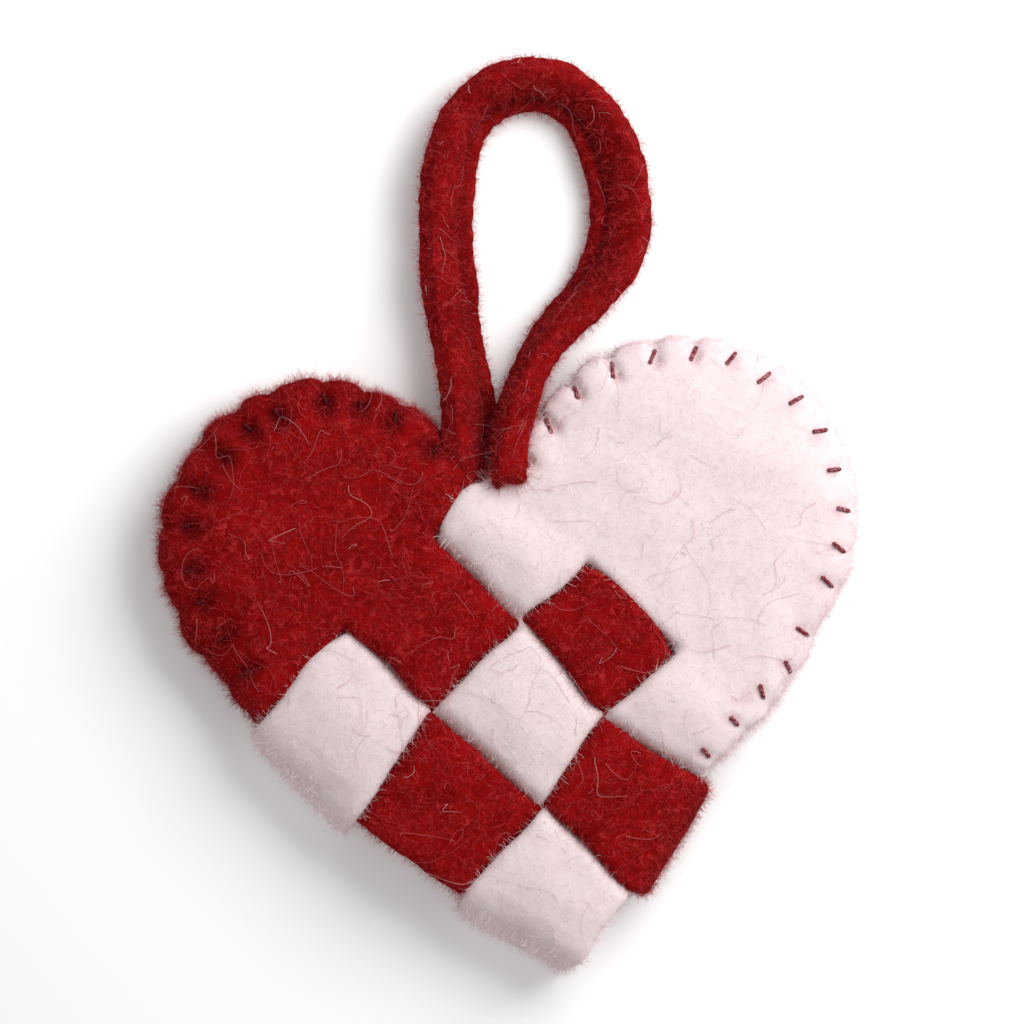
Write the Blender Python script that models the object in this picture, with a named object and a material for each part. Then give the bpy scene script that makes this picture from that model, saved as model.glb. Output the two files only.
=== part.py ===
"""Woven felt heart ornament: a red and a white sewn felt half, laced together, with a felt hanging loop.

The heart lies on its back. +Z is the front, +Y points from the heart's tip to its hanging loop, and the
origin is under the middle of the two halves, on the surface that they lie on.
"""

import math

import bmesh
import bpy
from mathutils import Vector

# Felt and how the pieces meet
FELT = 0.0026
TOUCH_GAP = 0.0003
SLIT = 0.0015
EDGE_ROUNDING = 0.0011
CROSSING_PINCH = 0.40
FOLD_PINCH = 0.30

# Strip widths, measured from slit middle to slit middle, from the notch outwards
WHITE_STRIP_WIDTHS = (0.0168, 0.0164, 0.0154)
RED_STRIP_WIDTHS = (0.0124, 0.0149, 0.0163)

# How far the lacing spreads towards the tip, in x and y for each square metre of u times v
SPLAY = (1.0, -0.45)

# Lobes: straight run before the half round, radius of the half round, its shift towards the notch and the
# bulge of the run after it
WHITE_LOBE_STRAIGHT = 0.0128
WHITE_LOBE_RADIUS = 0.0228
WHITE_LOBE_SHIFT = 0.0004
WHITE_LOBE_BULGE = 0.0011
RED_LOBE_STRAIGHT = 0.0091
RED_LOBE_RADIUS = 0.0213
RED_LOBE_SHIFT = 0.0015
RED_LOBE_BULGE = 0.0008
LOBE_CORNER_GAP = 0.0008
LOBE_FLAT_SHARE = 0.45
LOBE_CROWN_STEPS = 5
RIM_HALF_HEIGHT = 0.0016
BASE_STEEPNESS = 0.45

# Overcast seam round each lobe, which draws the rim in
STITCH_PITCH = 0.0053
STITCH_DEPTH = 0.0009
STITCH_FADE = 6
POINTS_PER_STITCH = 4
BASE_POINTS = 9

# Lacing of the strips
CROSSING_LENGTH = 0.0044
CROSSING_STEPS = 4
ROOT_LENGTH = 0.0080
ROOT_REST = 0.0018
ROOT_TAPER = 0.30
FOLD_REACH = 0.0020
FOLD_STEPS = 4
FOLD_SQUARENESS = 2.6
FOLD_CORNER = 0.0012
INNER_END_INSET = 0.0010
INNER_END_THICKNESS = 0.6
LAYER_OVERLAP = 0.00005

# Hanging loop
STRAP_WIDTH = 0.0070
STRAP_THICKNESS = 0.0032
STRAP_ROUNDING = 0.0009
STRAP_STEP = 0.0031
STRAP_REST_HEIGHT = 0.0001
ROUTE_FINENESS = 12

# Heights over the middle plane of the heart, worked out from the felt
INSIDE_MIDDLE = FELT / 2
OUTSIDE_MIDDLE = 1.5 * FELT + TOUCH_GAP
FULL_HALF_HEIGHT = 2 * FELT + TOUCH_GAP

# Which cells of each strip lie outside, from the lobe to the fold
WHITE_OUTSIDE = ((True, False, True), (False, True, False), (True, False, True))
RED_OUTSIDE = ((False, True, False), (True, False, True), (False, True, False))

# The loop's route from the notch up its left limb, over the top and down the right limb: x and y from the
# notch, the middle of the strap over the resting surface, and how far its upper edge leans outwards
LOOP_ROUTE = (
    (-0.0014, 0.0000, 0.0056, 22),
    (-0.0011, 0.0022, 0.0055, 27),
    (-0.0008, 0.0048, 0.0053, 33),
    (-0.0005, 0.0093, 0.0049, 40),
    (-0.0008, 0.0132, 0.0043, 42),
    (-0.0013, 0.0179, 0.0038, 44),
    (-0.0016, 0.0244, 0.0034, 44),
    (-0.0015, 0.0309, 0.0032, 44),
    (-0.0008, 0.0367, 0.0032, 42),
    (0.0002, 0.0412, 0.0032, 40),
    (0.0020, 0.0451, 0.0032, 40),
    (0.0054, 0.0482, 0.0032, 40),
    (0.0095, 0.0495, 0.0032, 40),
    (0.0131, 0.0492, 0.0032, 40),
    (0.0162, 0.0476, 0.0031, 49),
    (0.0189, 0.0444, 0.0030, 58),
    (0.0207, 0.0401, 0.0029, 63),
    (0.0215, 0.0344, 0.0028, 66),
    (0.0211, 0.0296, 0.0030, 62),
    (0.0196, 0.0256, 0.0033, 50),
    (0.0168, 0.0221, 0.0037, 36),
    (0.0134, 0.0189, 0.0042, 26),
    (0.0101, 0.0157, 0.0047, 20),
    (0.0079, 0.0124, 0.0054, 16),
    (0.0061, 0.0087, 0.0062, 13),
    (0.0047, 0.0046, 0.0071, 11),
    (0.0039, 0.0011, 0.0079, 10),
    (0.0035, -0.0017, 0.0082, 10),
)


def boundaries(widths):
    """Running sum of the strip widths: the middles of the slits."""
    edges = [0.0]
    for width in widths:
        edges.append(edges[-1] + width)
    return edges


WHITE_EDGES = boundaries(WHITE_STRIP_WIDTHS)
RED_EDGES = boundaries(RED_STRIP_WIDTHS)


def plan(u, v, z):
    """A point of the lacing as x, y, z from the notch: u runs down to the right, v down to the left."""
    spread = max(u, 0.0) * max(v, 0.0)
    return Vector((
        (u - v) * math.sqrt(0.5) + SPLAY[0] * spread,
        -(u + v) * math.sqrt(0.5) + SPLAY[1] * spread,
        z,
    ))


def red_place(along, across, z):
    """The red half's strips run along u, and its lobe lies where u is below zero."""
    return plan(along, across, z)


def white_place(along, across, z):
    """The white half's strips run along v, and its lobe lies where v is below zero."""
    return plan(across, along, z)


def loft(name, rings, collection):
    """A closed solid through rings of equally many points, capped at both ends."""
    mesh = bpy.data.meshes.new(name)
    bm = bmesh.new()
    loops = [[bm.verts.new(point) for point in ring] for ring in rings]
    for lower, upper in zip(loops, loops[1:]):
        for index in range(len(lower)):
            following = (index + 1) % len(lower)
            bm.faces.new((lower[index], lower[following], upper[following], upper[index]))
    bm.faces.new(list(reversed(loops[0])))
    bm.faces.new(loops[-1])
    bmesh.ops.recalc_face_normals(bm, faces=bm.faces)
    bm.to_mesh(mesh)
    bm.free()
    obj = bpy.data.objects.new(name, mesh)
    collection.objects.link(obj)
    return obj


def lobe_outline(width, straight, radius, shift, bulge):
    """Points of a lobe's outline in its own plane, and how deep the seam draws each one in.

    Side and half round are walked as one line, with a few points to each stitch.
    """
    middle = width / 2 - shift
    start = Vector((LOBE_CORNER_GAP, 0.0))
    arc_start = Vector((middle - radius, straight))
    arc_end = Vector((middle + radius, straight))
    end = Vector((width - LOBE_CORNER_GAP, 0.0))
    first = (arc_start - start).length
    arc = math.pi * radius
    last = (end - arc_end).length
    stitches = round((first + arc + last) / STITCH_PITCH)
    count = stitches * POINTS_PER_STITCH
    points = []
    for index in range(count + 1):
        walked = (first + arc + last) * index / count
        if walked < first:
            place = start.lerp(arc_start, walked / first)
        elif walked < first + arc:
            angle = math.pi * (1 - (walked - first) / arc)
            place = Vector((middle + radius * math.cos(angle), straight + radius * math.sin(angle)))
        else:
            share = (walked - first - arc) / last
            place = arc_end.lerp(end, share) + Vector((bulge * math.sin(math.pi * share), 0.0))
        drawn_in = 1.0 if index % POINTS_PER_STITCH == POINTS_PER_STITCH // 2 else 0.0
        points.append((place, drawn_in))
    for index in range(1, BASE_POINTS):
        points.append((end.lerp(start, index / BASE_POINTS), 0.0))
    return points, Vector((middle, straight))


def lobe_solid(name, width, lobe, place, collection):
    """The padded lobe: a thin sewn rim that swells to the full height of the lacing."""
    straight = lobe[0]
    outline, centre = lobe_outline(width, *lobe)
    rings = []
    for side in (-1, 1):
        levels = []
        for step in range(LOBE_CROWN_STEPS + 1):
            angle = math.pi / 2 * step / LOBE_CROWN_STEPS
            share = LOBE_FLAT_SHARE + (1 - LOBE_FLAT_SHARE) * math.sin(angle)
            height = RIM_HALF_HEIGHT + (FULL_HALF_HEIGHT - RIM_HALF_HEIGHT) * math.cos(angle)
            ring = []
            for point, drawn_in in outline:
                spoke = point - centre
                pull = drawn_in * STITCH_DEPTH * (step / LOBE_CROWN_STEPS) ** STITCH_FADE
                breadth = BASE_STEEPNESS + (1 - BASE_STEEPNESS) * min(point.y / straight, 1.0)
                spot = centre + spoke * (1 - (1 - share) * breadth) - spoke.normalized() * pull
                ring.append(place(-spot.y, spot.x, side * (height - pull / 2)))
            levels.append(ring)
        rings += levels if side < 0 else list(reversed(levels))
    return loft(name, rings, collection)


def ease(share):
    """Smooth step from 0 to 1."""
    return (1 - math.cos(math.pi * share)) / 2


def crossing(middle, length, start, end, pinch):
    """Stations where a layer changes its height: place along the strip, height and thickness share."""
    stations = []
    for step in range(CROSSING_STEPS + 1):
        share = step / CROSSING_STEPS
        height = start + (end - start) * ease(share)
        thickness = 1 - pinch * math.sin(math.pi * share)
        stations.append((middle + length * (share - 0.5), height, thickness))
    return stations


def strip_stations(edges, outside):
    """The front layer of one strip, from inside its lobe to its folded end."""
    heights = [OUTSIDE_MIDDLE if out else INSIDE_MIDDLE for out in outside]
    stations = []
    if outside[0]:
        root_middle = -ROOT_REST - ROOT_LENGTH / 2
        stations += crossing(root_middle, ROOT_LENGTH, INSIDE_MIDDLE, heights[0], 0.0)
    else:
        stations.append((-ROOT_LENGTH, heights[0], 1.0))
    for edge, before, after in zip(edges[1:], heights, heights[1:]):
        stations += crossing(edge, CROSSING_LENGTH, before, after, CROSSING_PINCH)
    if outside[-1]:
        stations += fold_stations(edges[-1])
    else:
        end = edges[-1] - INNER_END_INSET
        stations.append((end - EDGE_ROUNDING, INSIDE_MIDDLE, 1.0))
        stations.append((end, INSIDE_MIDDLE, INNER_END_THICKNESS))
    return stations


def fold_stations(edge):
    """The fold round the outermost strip of the other half: a squarish quarter turn down to the middle."""
    thin = 1 - FOLD_PINCH
    reach_in_plan = FOLD_REACH + TOUCH_GAP + thin * FELT / 2
    stations = []
    for step in range(FOLD_STEPS + 1):
        angle = math.pi / 2 * step / FOLD_STEPS
        along = edge - FOLD_REACH + reach_in_plan * max(math.sin(angle), 0.0) ** (2 / FOLD_SQUARENESS)
        height = OUTSIDE_MIDDLE * max(math.cos(angle), 0.0) ** (2 / FOLD_SQUARENESS)
        if step == FOLD_STEPS:
            height = -LAYER_OVERLAP
        stations.append((along, height, 1 - FOLD_PINCH * math.sin(angle)))
    return stations


def layer_rings(stations, low, high, tapers, side, place):
    """Rounded cross-sections of one felt layer, square to its course.

    An outer edge runs in where the root enters the lobe, and the folded end has rounded corners.
    """
    rings = []
    fold_start = stations[-1][0] - FOLD_CORNER
    for index, (along, height, thickness) in enumerate(stations):
        before = stations[max(index - 1, 0)]
        after = stations[min(index + 1, len(stations) - 1)]
        course = Vector((after[0] - before[0], after[1] - before[1])).normalized()
        if index == len(stations) - 1 and height < 0:
            course = Vector((0.0, -1.0))
        normal = Vector((-course.y, course.x))
        half = FELT * thickness / 2
        rounding = EDGE_ROUNDING * thickness
        root = max(-along, 0.0)
        corner = max(along - fold_start, 0.0)
        left = low + tapers[0] * root + corner
        right = high - tapers[1] * root - corner
        outline = (
            (left, rounding - half), (left + rounding, -half),
            (right - rounding, -half), (right, rounding - half),
            (right, half - rounding), (right - rounding, half),
            (left + rounding, half), (left, half - rounding),
        )
        sunk = LAYER_OVERLAP if height > 0 else 0.0
        rings.append([
            place(along + normal.x * depth, across, side * (height - sunk + normal.y * depth))
            for across, depth in outline
        ])
    return rings


def strip_solids(name, own_edges, other_edges, index, outside, place, collection):
    """Front and back layer of one strip."""
    outermost = index == len(own_edges) - 2
    low = own_edges[index] + SLIT / 2
    high = own_edges[index + 1] - (0.0 if outermost else SLIT / 2)
    tapers = (ROOT_TAPER if index == 0 else 0.0, ROOT_TAPER if outermost else 0.0)
    stations = strip_stations(other_edges, outside)
    solids = []
    for side, label in ((1, "front"), (-1, "back")):
        rings = layer_rings(stations, low, high, tapers, side, place)
        solids.append(loft(f"{name}_strip_{index + 1}_{label}", rings, collection))
    return solids


def smooth_route(points, spacing):
    """Evenly spaced points on a smooth curve through the route's own points."""
    route = [Vector(point) for point in points]
    route = [2 * route[0] - route[1]] + route + [2 * route[-1] - route[-2]]
    fine = []
    for index in range(1, len(route) - 2):
        p0, p1, p2, p3 = route[index - 1:index + 3]
        for part in range(ROUTE_FINENESS):
            t = part / ROUTE_FINENESS
            fine.append(
                0.5 * (2 * p1 + (p2 - p0) * t + (2 * p0 - 5 * p1 + 4 * p2 - p3) * t ** 2
                       + (3 * p1 - p0 - 3 * p2 + p3) * t ** 3)
            )
    fine.append(route[-2])
    walked = [0.0]
    for before, after in zip(fine, fine[1:]):
        walked.append(walked[-1] + (after.xyz - before.xyz).length)
    count = round(walked[-1] / spacing)
    even = []
    position = 0
    for index in range(count + 1):
        target = walked[-1] * index / count
        while position < len(walked) - 2 and walked[position + 1] < target:
            position += 1
        span = walked[position + 1] - walked[position]
        even.append(fine[position].lerp(fine[position + 1], (target - walked[position]) / span))
    return even


def strap_outline(grow):
    """The strap's rounded rectangular section, grown by a clearance: places along its width and thickness."""
    half_width = STRAP_WIDTH / 2 + grow
    half_thickness = STRAP_THICKNESS / 2 + grow
    inner_width = half_width - STRAP_ROUNDING
    inner_thickness = half_thickness - STRAP_ROUNDING
    return (
        (half_width, inner_thickness), (inner_width, half_thickness),
        (-inner_width, half_thickness), (-half_width, inner_thickness),
        (-half_width, -inner_thickness), (-inner_width, -half_thickness),
        (inner_width, -half_thickness), (half_width, -inner_thickness),
    )


def strap_rings(grow):
    """Sections along the loop, leaning as the strap twists and never lower than the resting surface."""
    route = smooth_route(LOOP_ROUTE, STRAP_STEP)
    rings = []
    for index, station in enumerate(route):
        before = route[max(index - 1, 0)]
        after = route[min(index + 1, len(route) - 1)]
        course = (after.xyz - before.xyz).normalized()
        outwards = Vector((0, 0, 1)).cross(course).normalized()
        upwards = course.cross(outwards)
        lean = math.radians(station.w)
        wide = upwards * math.cos(lean) + outwards * math.sin(lean)
        thin = outwards * math.cos(lean) - upwards * math.sin(lean)
        reach = max(wide.z * across + thin.z * depth for across, depth in strap_outline(0.0))
        middle = station.xyz.copy()
        middle.z = max(middle.z, reach + STRAP_REST_HEIGHT) - FULL_HALF_HEIGHT
        if index == 0:
            middle -= course * grow
        if index == len(route) - 1:
            middle += course * grow
        rings.append([middle + wide * across + thin * depth for across, depth in strap_outline(grow)])
    return rings


def felt_material(name, colour):
    """Matt felt in one colour."""
    material = bpy.data.materials.new(name)
    material.use_nodes = True
    shader = material.node_tree.nodes["Principled BSDF"]
    shader.inputs["Base Color"].default_value = (*colour, 1.0)
    shader.inputs["Roughness"].default_value = 0.95
    shader.inputs["Metallic"].default_value = 0.0
    return material


def join_solids(base, others, cutter, guides):
    """Unites a half's lobe and strips, and cuts the pocket for the loop's end."""
    members = bpy.data.collections.new(f"{base.name}_members")
    guides.children.link(members)
    for other in others:
        members.objects.link(other)
        guides.objects.unlink(other)
    union = base.modifiers.new("lobe and strips", "BOOLEAN")
    union.operation = "UNION"
    union.solver = "EXACT"
    union.operand_type = "COLLECTION"
    union.collection = members
    pocket = base.modifiers.new("loop pocket", "BOOLEAN")
    pocket.operation = "DIFFERENCE"
    pocket.solver = "EXACT"
    pocket.object = cutter


def clear_scene():
    """Removes everything from the open scene."""
    for obj in list(bpy.data.objects):
        bpy.data.objects.remove(obj, do_unlink=True)


def build_half(name, own_edges, other_edges, outside, lobe, place, cutter, parts, guides):
    """One half: the padded lobe with its three strips."""
    half = lobe_solid(name, own_edges[-1], lobe, place, parts)
    strips = []
    for index in range(len(outside)):
        strips += strip_solids(name, own_edges, other_edges, index, outside[index], place, guides)
    join_solids(half, strips, cutter, guides)
    return half


def main():
    """Builds the halves and the loop and stands them on the ground, centred."""
    clear_scene()
    parts = bpy.data.collections.new("woven_felt_heart")
    guides = bpy.data.collections.new("heart_cutters")
    bpy.context.scene.collection.children.link(parts)
    bpy.context.scene.collection.children.link(guides)
    cutter = loft("loop_pocket", strap_rings(TOUCH_GAP), guides)
    loop = loft("hanging_loop", strap_rings(0.0), parts)
    red_lobe = (RED_LOBE_STRAIGHT, RED_LOBE_RADIUS, RED_LOBE_SHIFT, RED_LOBE_BULGE)
    white_lobe = (WHITE_LOBE_STRAIGHT, WHITE_LOBE_RADIUS, WHITE_LOBE_SHIFT, WHITE_LOBE_BULGE)
    red = build_half(
        "red_half", RED_EDGES, WHITE_EDGES, RED_OUTSIDE, red_lobe, red_place, cutter, parts, guides
    )
    white = build_half(
        "white_half", WHITE_EDGES, RED_EDGES, WHITE_OUTSIDE, white_lobe, white_place, cutter, parts, guides
    )
    for obj, label, colour in (
        (red, "deep red felt", (0.30, 0.012, 0.018)),
        (white, "off-white felt", (0.86, 0.78, 0.78)),
        (loop, "deep red strap felt", (0.27, 0.010, 0.016)),
    ):
        obj.data.materials.append(felt_material(label, colour))
    for obj in guides.all_objects:
        obj.hide_render = True
        obj.display_type = "WIRE"
    bpy.context.view_layer.update()
    corners = []
    for half in (red, white):
        evaluated = half.evaluated_get(bpy.context.evaluated_depsgraph_get())
        corners += [Vector(corner) for corner in evaluated.bound_box]
    low = Vector([min(corner[axis] for corner in corners) for axis in range(3)])
    high = Vector([max(corner[axis] for corner in corners) for axis in range(3)])
    offset = Vector((-(low.x + high.x) / 2, -(low.y + high.y) / 2, -low.z))
    for obj in (red, white, loop, *guides.all_objects):
        obj.location = offset


main()
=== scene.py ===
"""Looks of the woven felt heart: two padded felt halves laced together and a felt hanging loop.

Everything is in the CAD model's frame, in metres. The heart lies on its back and is seen from above.
"""

import logging
import math
from dataclasses import dataclass
from enum import Enum

import bpy
import numpy as np
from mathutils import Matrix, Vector
from mathutils.bvhtree import BVHTree


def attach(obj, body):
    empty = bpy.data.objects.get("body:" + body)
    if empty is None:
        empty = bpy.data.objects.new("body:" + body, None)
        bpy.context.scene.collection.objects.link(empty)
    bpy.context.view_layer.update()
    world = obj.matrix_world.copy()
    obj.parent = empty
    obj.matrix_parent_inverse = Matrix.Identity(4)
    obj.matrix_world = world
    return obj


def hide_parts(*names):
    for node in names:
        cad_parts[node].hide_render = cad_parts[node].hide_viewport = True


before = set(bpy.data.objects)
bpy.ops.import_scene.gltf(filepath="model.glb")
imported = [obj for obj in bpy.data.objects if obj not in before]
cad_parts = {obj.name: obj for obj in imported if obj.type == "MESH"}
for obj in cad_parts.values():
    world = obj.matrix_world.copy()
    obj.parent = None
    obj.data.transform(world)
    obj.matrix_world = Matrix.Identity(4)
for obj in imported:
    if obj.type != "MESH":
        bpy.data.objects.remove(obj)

LOG = logging.getLogger("felt_heart")
MM = 0.001
BODY = "root"
WHITE = (1.0, 1.0, 1.0, 1.0)
Colour = tuple[float, float, float]

# The notch between the lobes, at the middle of the felt, in the CAD frame
NOTCH = np.array((-3.3335, 25.6562, 5.5)) * MM

# Felt and lacing, as in the CAD model
FELT = 2.6 * MM
TOUCH_GAP = 0.3 * MM
WHITE_STRIP_WIDTHS = (16.8 * MM, 16.4 * MM, 15.4 * MM)
RED_STRIP_WIDTHS = (12.4 * MM, 14.9 * MM, 16.3 * MM)
WHITE_OUTSIDE = ((True, False, True), (False, True, False), (True, False, True))
RED_OUTSIDE = ((False, True, False), (True, False, True), (False, True, False))
SPLAY = (1.0, -0.45)
INSIDE_MIDDLE = FELT / 2
OUTSIDE_MIDDLE = 1.5 * FELT + TOUCH_GAP
FULL_HALF_HEIGHT = 2 * FELT + TOUCH_GAP
REST_CLEARANCE = 0.05 * MM

# The loop's route as in the CAD model: x and y from the notch, height over the ground, and lean in degrees
LOOP_ROUTE = (
    (-1.4, 0.0, 5.6, 22), (-1.1, 2.2, 5.5, 27), (-0.8, 4.8, 5.3, 33), (-0.5, 9.3, 4.9, 40),
    (-0.8, 13.2, 4.3, 42), (-1.3, 17.9, 3.8, 44), (-1.6, 24.4, 3.4, 44), (-1.5, 30.9, 3.2, 44),
    (-0.8, 36.7, 3.2, 42), (0.2, 41.2, 3.2, 40), (2.0, 45.1, 3.2, 40), (5.4, 48.2, 3.2, 40),
    (9.5, 49.5, 3.2, 40), (13.1, 49.2, 3.2, 40), (16.2, 47.6, 3.1, 49), (18.9, 44.4, 3.0, 58),
    (20.7, 40.1, 2.9, 63), (21.5, 34.4, 2.8, 66), (21.1, 29.6, 3.0, 62), (19.6, 25.6, 3.3, 50),
    (16.8, 22.1, 3.7, 36), (13.4, 18.9, 4.2, 26), (10.1, 15.7, 4.7, 20), (7.9, 12.4, 5.4, 16),
    (6.1, 8.7, 6.2, 13), (4.7, 4.6, 7.1, 11), (3.9, 1.1, 7.9, 10), (3.5, -1.7, 8.2, 10),
)


class Side(Enum):
    """Which way a half's strips run: the red ones along u, the white ones along v."""

    RED = "red"
    WHITE = "white"


def boundaries(widths: tuple[float, ...]) -> np.ndarray:
    """Running sum of strip widths, from the notch outwards."""
    return np.concatenate([[0.0], np.cumsum(widths)])


class Ripple:
    """A smooth random field, as a sum of waves in random directions."""

    def __init__(self, shortest: float, longest: float, waves: int, seed: int) -> None:
        """Draws the waves.

        Args:
            shortest: Shortest wavelength.
            longest: Longest wavelength.
            waves: How many waves are summed.
            seed: Seed of the draw.
        """
        draw = np.random.default_rng(seed)
        directions = draw.normal(size=(waves, 3))
        directions /= np.linalg.norm(directions, axis=1, keepdims=True)
        lengths = draw.uniform(shortest, longest, size=(waves, 1))
        self.waves = directions * (2 * math.pi / lengths)
        self.phases = draw.uniform(0, 2 * math.pi, size=waves)

    def at(self, points: np.ndarray) -> np.ndarray:
        """Value at each point, mostly between -1 and 1."""
        return np.sin(points @ self.waves.T + self.phases).sum(axis=-1) / math.sqrt(len(self.phases))


# Hand-cut strips are never quite straight: small waves along their edges that both halves share
WAVES = 0.16 * MM
WAVE_FIELDS = tuple(Ripple(5 * MM, 12 * MM, 14, seed) for seed in (91, 92))

# Where lacing and sewing have pulled the felt off the straight plan, and places that hold still, in
# millimetres: x and y from the notch, and for the pulled ones the shift
PULLS = (
    (4.1, -66.5, 1.94, 1.27), (17.3, -54.4, -1.62, -2.08), (27.4, -44.5, -0.62, 1.88),
    (-18.0, -20.9, -0.87, 2.03), (-18.6, -42.9, -1.69, -1.42), (-31.4, -32.0, -0.61, 0.45),
    (-5.9, -55.7, -1.4, 0.38), (-7.2, -31.7, -1.86, 1.08), (15.3, -32.5, -1.76, -0.76),
    (5.0, -43.2, -0.73, -0.85), (11.1, -13.2, 2.33, -0.2), (22.3, -25.1, 0.97, -0.87),
    (3.5, -20.7, 0.59, 0.73), (-5.9, -8.2, 1.34, 1.84), (27.1, -40.2, -0.45, 0.82),
    (29.9, -35.5, 0.02, 0.26), (33.9, -31.3, 0.24, -0.28),
)
HELD = (
    (-42.4, -5.3), (-35.4, 9.8), (-18.9, 13.8), (-5.8, 5.9), (-38.0, -20.0), (-22.3, -4.4),
    (28.1, 15.2), (13.4, 8.7), (42.5, 5.5), (48.7, -11.8), (43.8, -24.6), (33.6, -6.7),
)


class Pull:
    """Smooth shift in plan that follows a table of pulled places."""

    def __init__(self, table: tuple[tuple[float, ...], ...], reach: float, slack: float) -> None:
        """Weighs the places so that together they give the table's shifts.

        Args:
            table: Rows of x, y and the shift in x and y, in millimetres.
            reach: How far a place's pull spreads, in millimetres.
            slack: Share by which a place may miss its shift, which keeps the felt from kinking.
        """
        rows = np.array(table)
        self.places, self.reach = rows[:, :2], reach
        shares = self.shares(self.places)
        self.weights = np.linalg.solve(shares + slack * np.eye(len(rows)), rows[:, 2:])

    def shares(self, flat: np.ndarray) -> np.ndarray:
        """How strongly each place pulls at each point."""
        away = flat[..., None, :] - self.places
        return np.exp(-(away ** 2).sum(axis=-1) / self.reach ** 2)

    def at(self, flat: np.ndarray) -> np.ndarray:
        """Shift in metres at each point, given in metres from the notch."""
        return self.shares(flat / MM) @ self.weights * MM


PULL = Pull(PULLS + tuple((*place, 0.0, 0.0) for place in HELD), reach=10.0, slack=0.1)


def uneven(flat: np.ndarray) -> np.ndarray:
    """How far the felt lies off the straight plan at each point, from the notch."""
    level = np.concatenate([flat, np.zeros_like(flat[..., :1])], axis=-1)
    waves = np.stack([field.at(level) for field in WAVE_FIELDS], axis=-1)
    return PULL.at(flat) + WAVES * waves


def plan(u: np.ndarray, v: np.ndarray, z: np.ndarray) -> np.ndarray:
    """Places points of the lacing in the CAD frame.

    Args:
        u: Distance from the notch down to the right.
        v: Distance from the notch down to the left.
        z: Height over the middle of the felt.

    Returns:
        An array of points, one row each.
    """
    spread = np.maximum(u, 0.0) * np.maximum(v, 0.0)
    x = (u - v) * math.sqrt(0.5) + SPLAY[0] * spread
    y = -(u + v) * math.sqrt(0.5) + SPLAY[1] * spread
    flat = np.stack([x, y], axis=-1)
    return np.concatenate([flat + uneven(flat), np.reshape(z, x.shape + (1,))], axis=-1) + NOTCH


def ease(share: np.ndarray) -> np.ndarray:
    """Smooth step from 0 to 1."""
    return (1 - np.cos(math.pi * np.clip(share, 0.0, 1.0))) / 2


def hump(distance: np.ndarray, reach: float) -> np.ndarray:
    """Bell curve of height 1 that fades over reach."""
    return np.exp(-((distance / reach) ** 2))


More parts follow.
